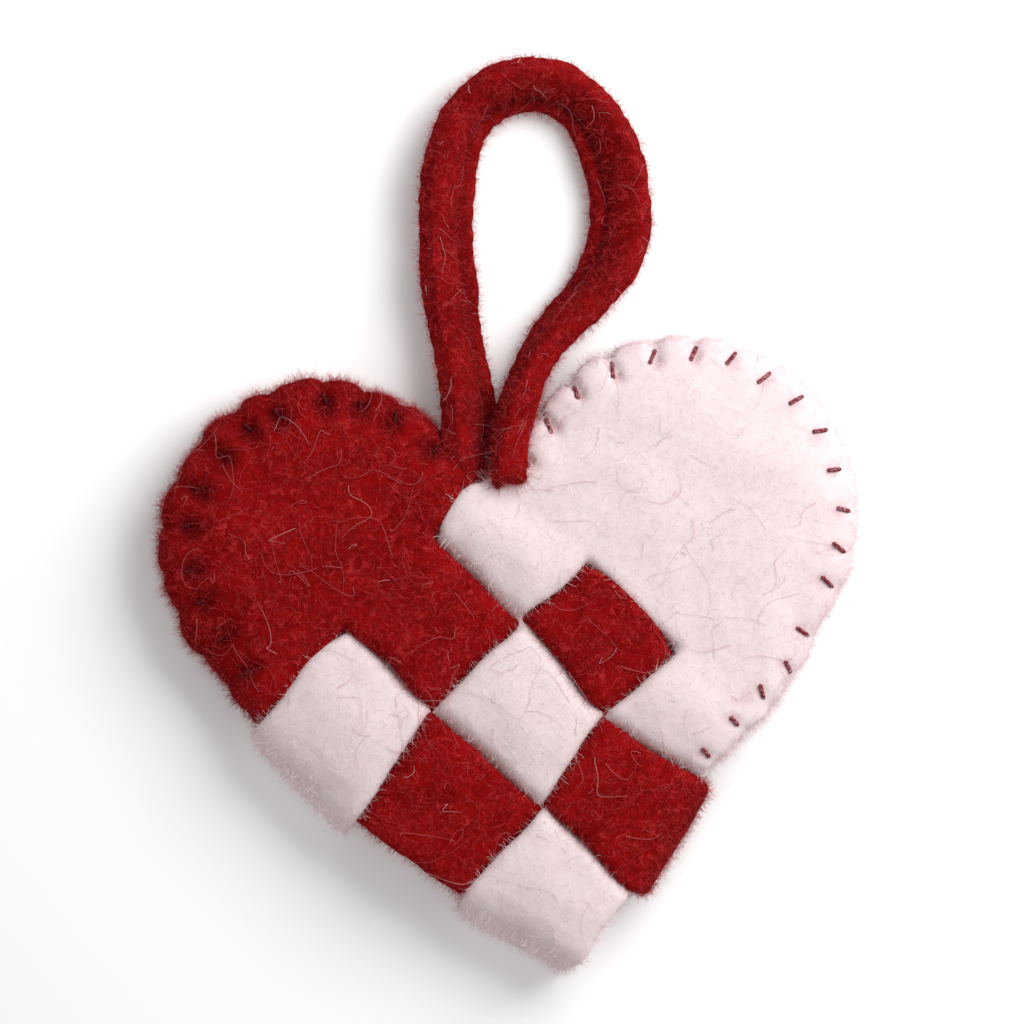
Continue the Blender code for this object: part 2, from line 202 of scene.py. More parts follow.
class Graph:
    """Adds nodes to a node tree and wires them."""

    def __init__(self, tree: bpy.types.NodeTree) -> None:
        """Takes the tree and empties it."""
        self.tree = tree
        tree.nodes.clear()

    def node(self, kind: str, inputs: dict | None = None, **settings: object) -> bpy.types.Node:
        """Adds one node.

        Args:
            kind: The node's type name.
            inputs: Value or source socket for each input, by name or place.
            settings: Properties of the node.

        Returns:
            The new node.
        """
        made = self.tree.nodes.new(kind)
        for name, value in settings.items():
            setattr(made, name, value)
        for key, value in (inputs or {}).items():
            if isinstance(value, bpy.types.NodeSocket):
                self.tree.links.new(value, made.inputs[key])
            else:
                made.inputs[key].default_value = value
        return made

    def math(self, operation: str, *values: object, clamp: bool = False) -> bpy.types.NodeSocket:
        """A Math node's result."""
        inputs = dict(enumerate(values))
        return self.node("ShaderNodeMath", inputs, operation=operation, use_clamp=clamp).outputs[0]

    def vector(self, operation: str, *values: object) -> bpy.types.NodeSocket:
        """A Vector Math node's vector result."""
        return self.node("ShaderNodeVectorMath", dict(enumerate(values)), operation=operation).outputs[0]

    def scaled(self, vector: object, scale: object) -> bpy.types.NodeSocket:
        """A vector times a number."""
        return self.node("ShaderNodeVectorMath", {0: vector, "Scale": scale}, operation="SCALE").outputs[0]

    def noise(self, vector: object, scale: float, detail: float, roughness: float = 0.5) -> bpy.types.Node:
        """A Noise Texture node."""
        inputs = {"Vector": vector, "Scale": scale, "Detail": detail, "Roughness": roughness}
        return self.node("ShaderNodeTexNoise", inputs)

    def blend(self, share: object, first: object, second: object) -> bpy.types.NodeSocket:
        """A mix of two colours."""
        inputs = {0: share, 6: first, 7: second}
        return self.node("ShaderNodeMix", inputs, data_type="RGBA").outputs[2]

    def ramp(self, value: object, low: float, high: float) -> bpy.types.NodeSocket:
        """Smooth step from 0 at low to 1 at high."""
        inputs = {0: value, 1: low, 2: high, 3: 0.0, 4: 1.0}
        return self.node("ShaderNodeMapRange", inputs, interpolation_type="SMOOTHSTEP").outputs[0]

    def times(self, first: object, second: object) -> bpy.types.NodeSocket:
        """A product of two numbers."""
        return self.math("MULTIPLY", first, second)

    def rest(self, value: object) -> bpy.types.NodeSocket:
        """What a number leaves of 1."""
        return self.math("SUBTRACT", 1.0, value)

    def drift(self, vector: object, scale: object, detail: float) -> bpy.types.NodeSocket:
        """Noise that points any way, each part between -0.5 and 0.5."""
        return self.vector("SUBTRACT", self.noise(vector, scale, detail).outputs[1], (0.5, 0.5, 0.5))

    def random(self, seed: int, low: object = 0.0, high: object = 1.0) -> bpy.types.NodeSocket:
        """A random number for each element."""
        inputs = {2: low, 3: high, 8: seed}
        return self.node("FunctionNodeRandomValue", inputs, data_type="FLOAT").outputs[1]

    def geometry(self, kind: str, inputs: dict | None = None, **settings: object) -> bpy.types.NodeSocket:
        """A geometry node's first output."""
        return self.node(kind, inputs, **settings).outputs[0]

    def place_mm(self) -> bpy.types.NodeSocket:
        """Place on the object, in millimetres."""
        return self.scaled(self.node("ShaderNodeTexCoord").outputs["Object"], 1.0 / MM)

    def attribute(self, name: str) -> bpy.types.NodeSocket:
        """A number stored on the mesh, for a material."""
        return self.node("ShaderNodeAttribute", attribute_name=name).outputs["Fac"]

    def surface(self, inputs: dict) -> None:
        """Ends a material's tree in one Principled shader."""
        shader = self.node("ShaderNodeBsdfPrincipled", inputs)
        self.node("ShaderNodeOutputMaterial", {"Surface": shader.outputs[0]})

    def finished(self, solid: object, material: bpy.types.Material) -> None:
        """Ends a geometry tree with smooth faces, real instances and a material."""
        solid = self.geometry("GeometryNodeSetShadeSmooth", {0: solid})
        solid = self.geometry("GeometryNodeRealizeInstances", {"Geometry": solid})
        solid = self.geometry("GeometryNodeSetMaterial", {"Geometry": solid, "Material": material})
        self.node("NodeGroupOutput", {0: solid})


def new_material(name: str) -> tuple[bpy.types.Material, Graph]:
    """A new material and the graph of its emptied tree."""
    made = bpy.data.materials.new(name)
    made.use_nodes = True
    return made, Graph(made.node_tree)


def geometry_tree(
    name: str, taken: str, numbers: tuple[str, ...], given: str
) -> tuple[Graph, dict[str, str]]:
    """Starts a Geometry Nodes tree with named inputs.

    Args:
        name: Name of the tree.
        taken: Name of its geometry input.
        numbers: Names of its number inputs. "Seed" is a whole number.
        given: Name of its geometry output.

    Returns:
        The tree's graph and the identifier of each number input.
    """
    tree = bpy.data.node_groups.new(name, "GeometryNodeTree")
    tree.interface.new_socket(taken, in_out="INPUT", socket_type="NodeSocketGeometry")
    named = {}
    for label in numbers:
        kind = "NodeSocketInt" if label == "Seed" else "NodeSocketFloat"
        named[label] = tree.interface.new_socket(label, in_out="INPUT", socket_type=kind).identifier
    tree.interface.new_socket(given, in_out="OUTPUT", socket_type="NodeSocketGeometry")
    return Graph(tree), named


@dataclass(frozen=True)
class FeltFinish:
    """Wool felt: clumped ground, curly fibres that show on it, painted shade low on its sides and painted
    shade in its pits.
    """

    name: str
    ground: Colour
    deep: Colour
    fibre: Colour
    second_fibre: Colour
    # edge: painted shade on the low sides near the felt's middle height, pinkish on the white felt; its
    # share sets how strong
    edge: Colour
    fibre_share: float
    second_share: float
    side_shade_share: float
    # Painted shade in the stitch dimples and along the strap's crease
    pit_shade: Colour = (0.05, 0.001, 0.002)
    pit_shade_share: float = 0.0
    relief: float = 0.22 * MM
    sheen: float = 0.08
    specular: float = 0.04

    def contour(
        self, graph: Graph, place: object, shift: float, scale: float, width: float
    ) -> bpy.types.NodeSocket:
        """Thin curly lines along the level lines of a noise.

        Args:
            graph: The tree being built.
            place: Warped coordinates in millimetres.
            shift: Offset that makes each layer different.
            scale: Curls per millimetre.
            width: Half width of a line, in noise units.

        Returns:
            1 on a line and 0 off it.
        """
        moved = graph.vector("ADD", place, (shift, shift * 0.7, shift * 1.3))
        level = graph.noise(moved, scale, 1.2).outputs[0]
        away = graph.math("ABSOLUTE", graph.math("SUBTRACT", level, 0.5))
        line = graph.rest(graph.ramp(away, width * 0.3, width))
        broken = graph.ramp(graph.noise(moved, scale * 0.55, 0.0).outputs[0], 0.46, 0.58)
        return graph.times(line, broken)

    def material(self) -> bpy.types.Material:
        """Builds the material."""
        made, graph = new_material(self.name)
        mm = graph.place_mm()
        warped = graph.vector("ADD", mm, graph.scaled(graph.drift(mm, 0.42, 2.0), 3.4))
        clumps = graph.noise(warped, 0.85, 5.0, 0.62).outputs[0]
        cloud = graph.noise(mm, 0.16, 2.0).outputs[0]
        fine = graph.noise(warped, 3.6, 3.0, 0.7).outputs[0]
        lines = ((3.0, 0.62, 0.030), (17.0, 0.95, 0.034), (41.0, 0.48, 0.020), (67.0, 1.55, 0.045))
        first, second, dark_lines, fourth = (self.contour(graph, warped, *line) for line in lines)
        light_lines = graph.math("MAXIMUM", graph.math("MAXIMUM", first, second), graph.times(fourth, 0.7))
        mottled = graph.math("ADD", graph.times(clumps, 0.6), graph.times(cloud, 0.4))
        colour = graph.blend(graph.ramp(mottled, 0.31, 0.64), (*self.deep, 1.0), (*self.ground, 1.0))
        # Painted shade: the low sides near the felt's middle height turn towards the edge colour
        height = graph.node("ShaderNodeSeparateXYZ", {0: mm}).outputs[2]
        over_middle = graph.math("ABSOLUTE", graph.math("SUBTRACT", height, NOTCH[2] / MM))
        low = graph.rest(graph.ramp(over_middle, 1.8, 4.9))
        # The stored pit attribute paints shade into the stitch dimples and the strap's crease
        for mask, share, tone in (
            (low, self.side_shade_share, self.edge), (light_lines, self.fibre_share, self.fibre),
            (dark_lines, self.second_share, self.second_fibre),
            (graph.attribute("pit_shade"), self.pit_shade_share, self.pit_shade),
        ):
            colour = graph.blend(graph.times(mask, share), colour, (*tone, 1.0))
        relief = graph.math("ADD", clumps, graph.times(fine, 0.30))
        relief = graph.math("ADD", relief, graph.times(light_lines, 0.16))
        bump = graph.node("ShaderNodeBump", {"Strength": 0.9, "Distance": self.relief, "Height": relief})
        graph.surface({
            "Base Color": colour, "Roughness": 1.0, "Specular IOR Level": self.specular,
            "Normal": bump.outputs[0], "Sheen Weight": self.sheen, "Sheen Roughness": 0.55,
            "Sheen Tint": (*self.fibre, 1.0),
        })
        return made


@dataclass(frozen=True)
class FibreFinish:
    """Loose wool fibres in three tones, chosen by each fibre's own tint."""

    name: str
    common: Colour
    lighter: Colour
    rare: Colour
    lighter_from: float
    rare_from: float
    soft: float = 0.04

    def material(self) -> bpy.types.Material:
        """Builds the material."""
        made, graph = new_material(self.name)
        tint = graph.attribute("tint")
        light = graph.ramp(tint, self.lighter_from - self.soft * 4, self.lighter_from + self.soft * 4)
        colour = graph.blend(light, (*self.common, 1.0), (*self.lighter, 1.0))
        rare = graph.ramp(tint, self.rare_from, self.rare_from + self.soft)
        colour = graph.blend(rare, colour, (*self.rare, 1.0))
        graph.surface({"Base Color": colour, "Roughness": 0.8, "Specular IOR Level": 0.05})
        return made


@dataclass(frozen=True)
class ThreadFinish:
    """Twisted sewing thread with flecks of a paler ply."""

    name: str
    ground: Colour
    fleck: Colour

    def material(self) -> bpy.types.Material:
        """Builds the material."""
        made, graph = new_material(self.name)
        flecks = graph.noise(graph.place_mm(), 3.2, 3.0, 0.6).outputs[0]
        colour = graph.blend(graph.ramp(flecks, 0.50, 0.62), (*self.ground, 1.0), (*self.fleck, 1.0))
        bump = graph.node("ShaderNodeBump", {"Strength": 0.6, "Distance": 0.08 * MM, "Height": flecks})
        graph.surface({
            "Base Color": colour, "Roughness": 0.75, "Specular IOR Level": 0.3, "Normal": bump.outputs[0],
        })
        return made


def new_object(name: str, mesh: bpy.types.ID) -> bpy.types.Object:
    """Links a new object that shows the given data."""
    made = bpy.data.objects.new(name, mesh)
    bpy.context.scene.collection.objects.link(made)
    return made


def baked(obj: bpy.types.Object, name: str) -> bpy.types.Object:
    """Turns an object and its modifiers into a plain mesh object.

    Args:
        obj: The object with modifiers, which is removed.
        name: Name of the result.

    Returns:
        The plain object.
    """
    bpy.context.view_layer.update()
    depsgraph = bpy.context.evaluated_depsgraph_get()
    evaluated = obj.evaluated_get(depsgraph)
    mesh = bpy.data.meshes.new_from_object(evaluated, preserve_all_data_layers=True, depsgraph=depsgraph)
    bpy.data.objects.remove(obj, do_unlink=True)
    mesh.name = name
    return new_object(name, mesh)


def grown(
    carrier: bpy.types.Object, graph: Graph, named: dict[str, str], values: dict[str, float], name: str
) -> bpy.types.Object:
    """Runs a Geometry Nodes tree on a carrier and keeps the result as a plain mesh.

    Args:
        carrier: The object the tree runs on, which is removed.
        graph: The tree's graph.
        named: Identifier of each input.
        values: Value of each input.
        name: Name of the result.

    Returns:
        The plain object.
    """
    modifier = carrier.modifiers.new(name, "NODES")
    modifier.node_group = graph.tree
    for label, value in values.items():
        modifier[named[label]] = value
    return baked(carrier, name)


def read(mesh: bpy.types.Mesh, what: str) -> np.ndarray:
    """The place ("co") or the direction ("normal") of every vertex, one row each."""
    flat = np.empty(len(mesh.vertices) * 3, dtype=np.float32)
    mesh.vertices.foreach_get(what, flat)
    return flat.reshape(-1, 3).astype(np.float64)


def move_points(mesh: bpy.types.Mesh, points: np.ndarray) -> None:
    """Writes new vertex places to a mesh."""
    mesh.vertices.foreach_set("co", points.astype(np.float32).ravel())
    mesh.update()


# How much of each smoothing step is swollen back, so that nothing shrinks much
SWOLLEN_BACK = 0.92


def smoothed(mesh: bpy.types.Mesh, points: np.ndarray, rounds: int, strength: float) -> np.ndarray:
    """Evens out a surface without shrinking it much.

    Args:
        mesh: Mesh that gives the edges.
        points: Places to smooth.
        rounds: Pairs of smoothing and swelling steps.
        strength: Share of the way to the neighbours' middle in one step.

    Returns:
        The smoothed places.
    """
    flat = np.empty(len(mesh.edges) * 2, dtype=np.int32)
    mesh.edges.foreach_get("vertices", flat)
    a, b = flat.reshape(-1, 2).T
    count = np.bincount(a, minlength=len(points)) + np.bincount(b, minlength=len(points))
    count = np.maximum(count, 1)
    for _ in range(rounds):
        for step in (strength, -strength * SWOLLEN_BACK):
            middle = np.empty_like(points)
            for axis in range(3):
                column = points[:, axis]
                middle[:, axis] = np.bincount(a, weights=column[b], minlength=len(points))
                middle[:, axis] += np.bincount(b, weights=column[a], minlength=len(points))
            middle /= count[:, None]
            points = points + step * (middle - points)
    return points


def roughen(
    mesh: bpy.types.Mesh, points: np.ndarray, waves: tuple[tuple[float, Ripple], ...]
) -> None:
    """Makes a surface uneven along its normals and keeps it off the ground.

    Args:
        mesh: The surface.
        points: Places of its vertices.
        waves: Height and field of each kind of wave.
    """
    relief = sum(height * field.at(points) for height, field in waves)
    points = points + read(mesh, "normal") * relief[:, None]
    points[:, 2] = np.maximum(points[:, 2], REST_CLEARANCE)
    move_points(mesh, points)


def shade_smooth(mesh: bpy.types.Mesh) -> None:
    """Marks all faces as smooth."""
    mesh.polygons.foreach_set("use_smooth", [True] * len(mesh.polygons))
    mesh.update()


def store(mesh: bpy.types.Mesh, name: str, values: np.ndarray) -> None:
    """Keeps one number for each vertex under a name."""
    layer = mesh.attributes.get(name) or mesh.attributes.new(name, "FLOAT", "POINT")
    layer.data.foreach_set("value", values.astype(np.float32))


class Shell:
    """Collects closed lofts into one mesh."""

    def __init__(self) -> None:
        """Starts empty."""
        self.points: list[np.ndarray] = []
        self.faces: list[tuple[int, ...]] = []
        self.count = 0

    def loft(self, rings: np.ndarray) -> None:
        """Adds a closed loft.

        Args:
            rings: Array of rings, points in a ring, and three coordinates.
        """
        stations, around, _ = rings.shape
        start = self.count
        self.points.append(rings.reshape(-1, 3))
        for station in range(stations - 1):
            for index in range(around):
                low = start + station * around
                following = (index + 1) % around
                quad = (index, following, around + following, around + index)
                self.faces.append(tuple(low + corner for corner in quad))
        self.faces.append(tuple(range(start + around - 1, start - 1, -1)))
        last = start + (stations - 1) * around
        self.faces.append(tuple(range(last, last + around)))
        self.count += stations * around

    def mesh(self, name: str) -> bpy.types.Mesh:
        """The collected mesh."""
        made = bpy.data.meshes.new(name)
        made.from_pydata(np.concatenate(self.points).tolist(), [], self.faces)
        made.update()
        return made


@dataclass(frozen=True)
class Seam:
    """Overcast stitches round a lobe: how far along the rim and in from it each one shows, in mm."""

    stitches: tuple[tuple[float, float], ...]
    length: float
    slant: float
    drawn_in: float
    puff: float
    groove: float
    dimple: float
    dimple_reach: float
    thread_radius: float
    eases_at: float
    eased: float
    easing: float = 12 * MM
    band: float = 9 * MM
    rim_reach: float = 2.6 * MM
    stitch_reach: float = 1.05 * MM
    groove_reach: float = 0.8 * MM

    def tightness(self, walked: np.ndarray) -> np.ndarray:
        """How hard the stitches pull: full at the notch, and eased beyond a place on the rim."""
        return 1 - (1 - self.eased) * ease((walked - self.eases_at) / self.easing + 0.5)


@dataclass(frozen=True)
class LobeShape:
    """Outline of a lobe: a straight run, then a half round whose middle is shifted towards the notch."""

    straight: float
    radius: float
    shift: float
    bulge: float
    corner_gap: float = 0.8 * MM

    def walk(self, width: float, extra: float, spacing: float) -> tuple[np.ndarray, np.ndarray, np.ndarray]:
        """Walks the lobe's rim from the notch round to the strips.

        Args:
            width: Width of the half at its strips.
            extra: How far the walk goes on down the outermost strip's edge.
            spacing: Distance between points.

        Returns:
            Points as (across, away from the strips), inward directions, and distances walked.
        """
        centre = self.centre(width)
        start = np.array((self.corner_gap, 0.0))
        arc_start = centre - (self.radius, 0.0)
        arc_end = centre + (self.radius, 0.0)
        end = np.array((width - self.corner_gap, 0.0))
        first = np.linalg.norm(arc_start - start)
        arc = math.pi * self.radius
        last = np.linalg.norm(end - arc_end)
        whole = first + arc + last
        walked = np.linspace(0.0, whole, int(whole / spacing) + 1)
        points = np.empty((len(walked), 2))
        for row, distance in enumerate(walked):
            if distance < first:
                points[row] = start + (arc_start - start) * distance / first
            elif distance < first + arc:
                angle = math.pi * (1 - (distance - first) / arc)
                points[row] = centre + self.radius * np.array((math.cos(angle), math.sin(angle)))
            else:
                share = (distance - first - arc) / last
                points[row] = arc_end + (end - arc_end) * share
                points[row, 0] += self.bulge * math.sin(math.pi * share)
        if extra:
            more = np.arange(spacing, extra, spacing)
            tail = np.stack([np.full(len(more), width), -more], axis=1)
            points = np.concatenate([points, tail])
            walked = np.concatenate([walked, walked[-1] + more])
        course = np.gradient(points, axis=0)
        course /= np.linalg.norm(course, axis=1, keepdims=True)
        inward = np.stack([course[:, 1], -course[:, 0]], axis=1)
        return points, inward, walked

    def centre(self, width: float) -> np.ndarray:
        """Middle of the half round."""
        return np.array((width / 2 - self.shift, self.straight))


@dataclass
class FeltHalf:
    """One half of the heart: a padded lobe and three doubled strips, made as one soft solid."""

    name: str
    node: str
    slot: str
    side: Side
    own_edges: np.ndarray
    other_edges: np.ndarray
    outside: tuple[tuple[bool, ...], ...]
    lobe: LobeShape
    seam: Seam
    finish: FeltFinish
    sewn_run: float = 0.0
    slit: float = 0.15 * MM
    crossing: float = 3.9 * MM
    crossing_pinch: float = 0.34
    root_length: float = 9.0 * MM
    root_rest: float = 1.6 * MM
    root_taper: float = 0.30
    crown: float = 0.50 * MM
    dome: float = 0.35 * MM
    narrowing: float = 0.05 * MM
    narrowing_reach: float = 1.9 * MM
    free_edge_rounding: float = 1.6 * MM
    free_edge_reach: float = 3.0 * MM
    fold_reach: float = 2.9 * MM
    fold_pinch: float = 0.25
    fold_squareness: float = 2.05
    fold_corner: float = 0.6 * MM
    end_inset: float = 1.0 * MM
    rim_half_height: float = 1.7 * MM
    flat_share: float = 0.50
    base_steepness: float = 0.24
    base_overlap: float = 1.7 * MM
    voxel: float = 0.54 * MM
    spacing: float = 0.7 * MM
    swell: float = 0.10 * MM
    ripple: float = 0.045 * MM
    smoothing_rounds: int = 5
    smoothing: float = 0.6
    most_squeezed: float = 0.6
    wall_start: float = 3.0 * MM
    wall_inset: float = 0.75 * MM
    wall_reach: float = 0.95 * MM
    seed: int = 1

    def place(self, along: np.ndarray, across: np.ndarray, z: np.ndarray) -> np.ndarray:
        """Puts points of this half's strips and lobe in the CAD frame."""
        if self.side is Side.RED:
            return plan(along, across, z)
        return plan(across, along, z)

    def unplace(self, points: np.ndarray) -> tuple[np.ndarray, np.ndarray]:
        """Distances across and away from the strips, for points beside or beyond the lacing's edge."""
        shifted = points[:, :2] - NOTCH[:2]
        straight = shifted
        for _ in range(4):
            straight = shifted - uneven(straight)
        x, y = straight.T
        u = (x - y) * math.sqrt(0.5)
        v = -(x + y) * math.sqrt(0.5)
        spread = np.maximum(u, 0.0) * np.maximum(v, 0.0)
        u = u - (SPLAY[0] - SPLAY[1]) * math.sqrt(0.5) * spread
        v = v + (SPLAY[0] + SPLAY[1]) * math.sqrt(0.5) * spread
        if self.side is Side.RED:
            return v, -u
        return u, -v

    @property
    def width(self) -> float:
        """Width of the half at its strips."""
        return float(self.own_edges[-1])

    def rim(self) -> tuple[np.ndarray, np.ndarray, np.ndarray]:
        """Finely spaced points of the sewn rim, their inward directions and their distances walked."""
        return self.lobe.walk(self.width, self.sewn_run, 0.25 * MM)

    def lobe_rings(self) -> np.ndarray:
        """Rings of the padded lobe, from the back's middle over the rim to the front's middle."""
        outline, _, _ = self.lobe.walk(self.width, 0.0, self.spacing)
        base_count = int(self.width / self.spacing)
        base = np.linspace(outline[-1], outline[0], base_count + 1)[1:-1]
        share = np.linspace(0, 1, base_count + 1)[1:-1]
        base[:, 1] -= self.base_overlap * np.minimum(1, 8 * share * (1 - share))
        outline = np.concatenate([outline, base])
        centre = self.lobe.centre(self.width)
        spokes = outline - centre
        steep = self.base_steepness
        breadth = steep + (1 - steep) * np.clip(outline[:, 1] / self.lobe.straight, 0, 1)
        rings = []
        steps = 16
        for side in (-1, 1):
            levels = []
            for step in range(steps + 1):
                angle = math.pi / 2 * step / steps
                share = self.flat_share + (1 - self.flat_share) * math.sin(angle)
                height = self.rim_half_height + (FULL_HALF_HEIGHT - self.rim_half_height) * math.cos(angle)
                spots = centre + spokes * (1 - (1 - share) * breadth)[:, None]
                levels.append(self.place(-spots[:, 1], spots[:, 0], np.full(len(spots), side * height)))
            rings += levels if side < 0 else levels[::-1]
        return np.stack(rings)

    def stations(self, outside: tuple[bool, ...]) -> np.ndarray:
        """Stations of a strip's front layer from inside its lobe to its end.

        Args:
            outside: Which cells lie on the outside.

        Returns:
            Rows of place along the strip, height, thickness share, narrowing and crown.
        """
        edges = self.other_edges
        heights = [OUTSIDE_MIDDLE if out else INSIDE_MIDDLE for out in outside]
        end = edges[-1] - (self.fold_reach if outside[-1] else self.end_inset + FELT / 2)
        along = np.arange(-self.root_rest - self.root_length, end, self.spacing * 0.8)
        root = ease((along + self.root_rest + self.root_length) / self.root_length)
        height = INSIDE_MIDDLE + (heights[0] - INSIDE_MIDDLE) * root
        pinch = np.zeros_like(along)
        narrow = np.zeros_like(along)
        for edge, before, after in zip(edges[1:], heights, heights[1:]):
            share = (along - edge) / self.crossing + 0.5
            height = height + (after - before) * ease(share)
            pinch = np.maximum(pinch, self.crossing_pinch * np.sin(math.pi * np.clip(share, 0, 1)))
        for index, edge in enumerate(edges[:-1]):
            if index or not outside[0]:
                narrow = narrow + self.narrowing * hump(along - edge, self.narrowing_reach)
        rise = (height - INSIDE_MIDDLE) / (OUTSIDE_MIDDLE - INSIDE_MIDDLE)
        rise = np.where(along < 0, 0.0, rise)
        swell = np.zeros_like(along)
        for low, high in zip(edges, edges[1:]):
            swell = swell + np.sin(math.pi * np.clip((along - low) / (high - low), 0, 1)) ** 2
        height = height + self.dome * swell * rise
        crown = self.crown * rise * swell
        rows = [np.stack([along, height, 1 - pinch, narrow, crown], axis=1)]
        if outside[-1]:
            rows.append(self.fold(edges[-1]))
        else:
            tip = np.linspace(0, 1, 5)[1:]
            thickness = np.sqrt(np.maximum(1 - tip ** 2, 0.04))
            reach = end + tip * FELT / 2
            level = np.full(len(tip), INSIDE_MIDDLE)
            rows.append(np.stack([reach, level, thickness, 0 * tip, 0 * tip], axis=1))
        return np.concatenate(rows)

    def fold(self, edge: float) -> np.ndarray:
        """Stations of the fold round the other half's outermost strip, a squarish quarter turn."""
        angle = np.linspace(0, math.pi / 2, 13)[1:]
        power = 2 / self.fold_squareness
        reach = self.fold_reach + TOUCH_GAP + (1 - self.fold_pinch) * FELT / 2
        along = edge - self.fold_reach + reach * np.sin(angle) ** power
        height = OUTSIDE_MIDDLE * np.maximum(np.cos(angle), 0) ** power
        height[-1] = -0.1 * MM
        thickness = 1 - self.fold_pinch * np.sin(angle)
        corner = self.fold_corner * np.sin(angle) ** 3
        return np.stack([along, height, thickness, corner, 0 * angle], axis=1)

    def strip_rings(self, index: int, side: int) -> np.ndarray:
        """Rings of one felt layer of one strip.

        Args:
            index: The strip, from the notch outwards.
            side: 1 for the front layer and -1 for the back one.

        Returns:
            Array of rings.
        """
        outermost = index == len(self.own_edges) - 2
        low = self.own_edges[index] + self.slit / 2
        high = self.own_edges[index + 1] - (0.0 if outermost else self.slit / 2)
        rows = self.stations(self.outside[index])
        course = np.gradient(rows[:, :2], axis=0)
        course /= np.linalg.norm(course, axis=1, keepdims=True)
        if self.outside[index][-1]:
            course[-1] = (0.0, -1.0)
        rings = []
        for (along, height, thickness, narrow, crown), (forward, rise) in zip(rows, course):
            half = FELT * thickness / 2
            root = max(-along, 0.0)
            left = low + narrow
            if index == 0:
                nearest = min(abs(along - edge) for edge in self.other_edges[:-1])
                rounding = self.free_edge_rounding * math.exp(-((nearest / self.free_edge_reach) ** 2))
                left += self.root_taper * root + rounding
            right = high - narrow - (self.root_taper * root if outermost else 0.0)
            across, depth = self.section(left, right, half, crown)
            rings.append(self.place(along - rise * depth, across, side * (height + forward * depth)))
        return np.stack(rings)

    @staticmethod
    def section(left: float, right: float, half: float, crown: float) -> tuple[np.ndarray, np.ndarray]:
        """Cross-section of a felt layer with round edges and a crowned outer face."""
        flat = np.linspace(left + half, right - half, 15)
        middle = (left + right) / 2
        bulge = crown * (1 - ((flat - middle) / (right - middle)) ** 2)
        turn = np.linspace(math.pi / 2, -math.pi / 2, 9)[1:-1]
        across = np.concatenate([
            flat, right - half + half * np.cos(turn), flat[::-1], left + half - half * np.cos(turn),
        ])
        under = np.full(len(flat), -half)
        depth = np.concatenate([half + bulge, half * np.sin(turn), under, -half * np.sin(turn)])
        return across, depth

    def sewn_edge_rings(self) -> np.ndarray:
        """Rings of the wall that closes the outermost strip's sewn edge between its two layers."""
        along = np.arange(-self.wall_start, self.sewn_run, self.spacing)
        turn = np.linspace(0, 2 * math.pi, 25)[:-1]
        across = self.width - self.wall_inset + self.wall_reach * np.cos(turn)
        rings = []
        for step, place in enumerate(along):
            shut = min(1.0, (len(along) - 1 - step) / 3 + 0.25)
            height = OUTSIDE_MIDDLE * shut * np.sin(turn)
            rings.append(self.place(np.full(len(turn), place), across, height))
        return np.stack(rings)

    def sculpt(self, mesh: bpy.types.Mesh) -> None:
        """Rounds the remeshed half, draws its rim in at each stitch and makes it uneven as felt is.

        Args:
            mesh: The remeshed half.
        """
        seam = self.seam
        points = smoothed(mesh, read(mesh, "co"), self.smoothing_rounds, self.smoothing)
        outline, inward, walked = self.rim()
        across, away = self.unplace(points)
        near = np.stack([across, away], axis=1)
        best = np.full(len(near), np.inf)
        which = np.zeros(len(near), dtype=np.int32)
        for row, spot in enumerate(outline[::2]):
            gap = ((near - spot) ** 2).sum(axis=1)
            closer = gap < best
            best = np.where(closer, gap, best)
            which = np.where(closer, row * 2, which)
        inset = ((near - outline[which]) * inward[which]).sum(axis=1)
        place = walked[which]
        stitched = np.array(seam.stitches) * MM
        gaps = np.abs(place[:, None] - stitched[None, :, 0])
        nearest = gaps.argmin(axis=1)
        beside = gaps.min(axis=1)
        hole_inset = stitched[nearest, 1] + seam.length / 3
        tight = seam.tightness(place)
        on_rim = (away > -self.sewn_run) & (inset < seam.band)
        height = points[:, 2] - NOTCH[2]
        fade = np.where(on_rim, hump(np.maximum(inset, 0), seam.rim_reach), 0.0) * tight
        pull = (seam.drawn_in * hump(beside, seam.stitch_reach) - seam.puff) * fade
        moved = near + inward[which] * pull[:, None]
        hole = np.hypot(beside, inset - hole_inset)
        along_stitch = hump(np.maximum(inset - hole_inset * 0.6, 0), hole_inset * 0.5)
        squeeze = seam.groove * hump(beside, seam.groove_reach) * np.where(on_rim, along_stitch, 0.0)
        squeeze = squeeze + np.where(on_rim, seam.dimple * hump(hole, seam.dimple_reach), 0.0)
        squeeze = squeeze * tight
        # Painted shade round each stitch hole, kept for the material
        store(mesh, "pit_shade", np.where(on_rim, hump(hole, seam.dimple_reach * 1.1), 0.0))
        height = height * (1 - np.minimum(squeeze, self.most_squeezed))
        sewn = on_rim & (fade > 0.001)
        placed = self.place(-moved[:, 1], moved[:, 0], height)
        points[:, :2] = np.where(sewn[:, None], placed[:, :2], points[:, :2])
        points[:, 2] = height + NOTCH[2]
        move_points(mesh, points)
        broad = Ripple(5 * MM, 14 * MM, 28, self.seed)
        narrow = Ripple(1.2 * MM, 3.0 * MM, 60, self.seed + 50)
        roughen(mesh, points, ((self.swell, broad), (self.ripple, narrow)))

    def build(self) -> bpy.types.Object:
        """Builds and dresses the half and attaches it to the body."""
        shell = Shell()
        shell.loft(self.lobe_rings())
        for index in range(len(self.outside)):
            for side in (1, -1):
                shell.loft(self.strip_rings(index, side))
        if self.sewn_run:
            shell.loft(self.sewn_edge_rings())
        rough = new_object(self.name + "_rough", shell.mesh(self.name))
        remesh = rough.modifiers.new("one skin", "REMESH")
        remesh.mode = "VOXEL"
        remesh.voxel_size = self.voxel
        half = baked(rough, self.name)
        self.sculpt(half.data)
        shade_smooth(half.data)
        half.data.materials.clear()
        half.data.materials.append(self.finish.material())
        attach(half, BODY)
        self.slot
        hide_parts(self.node)
        return half


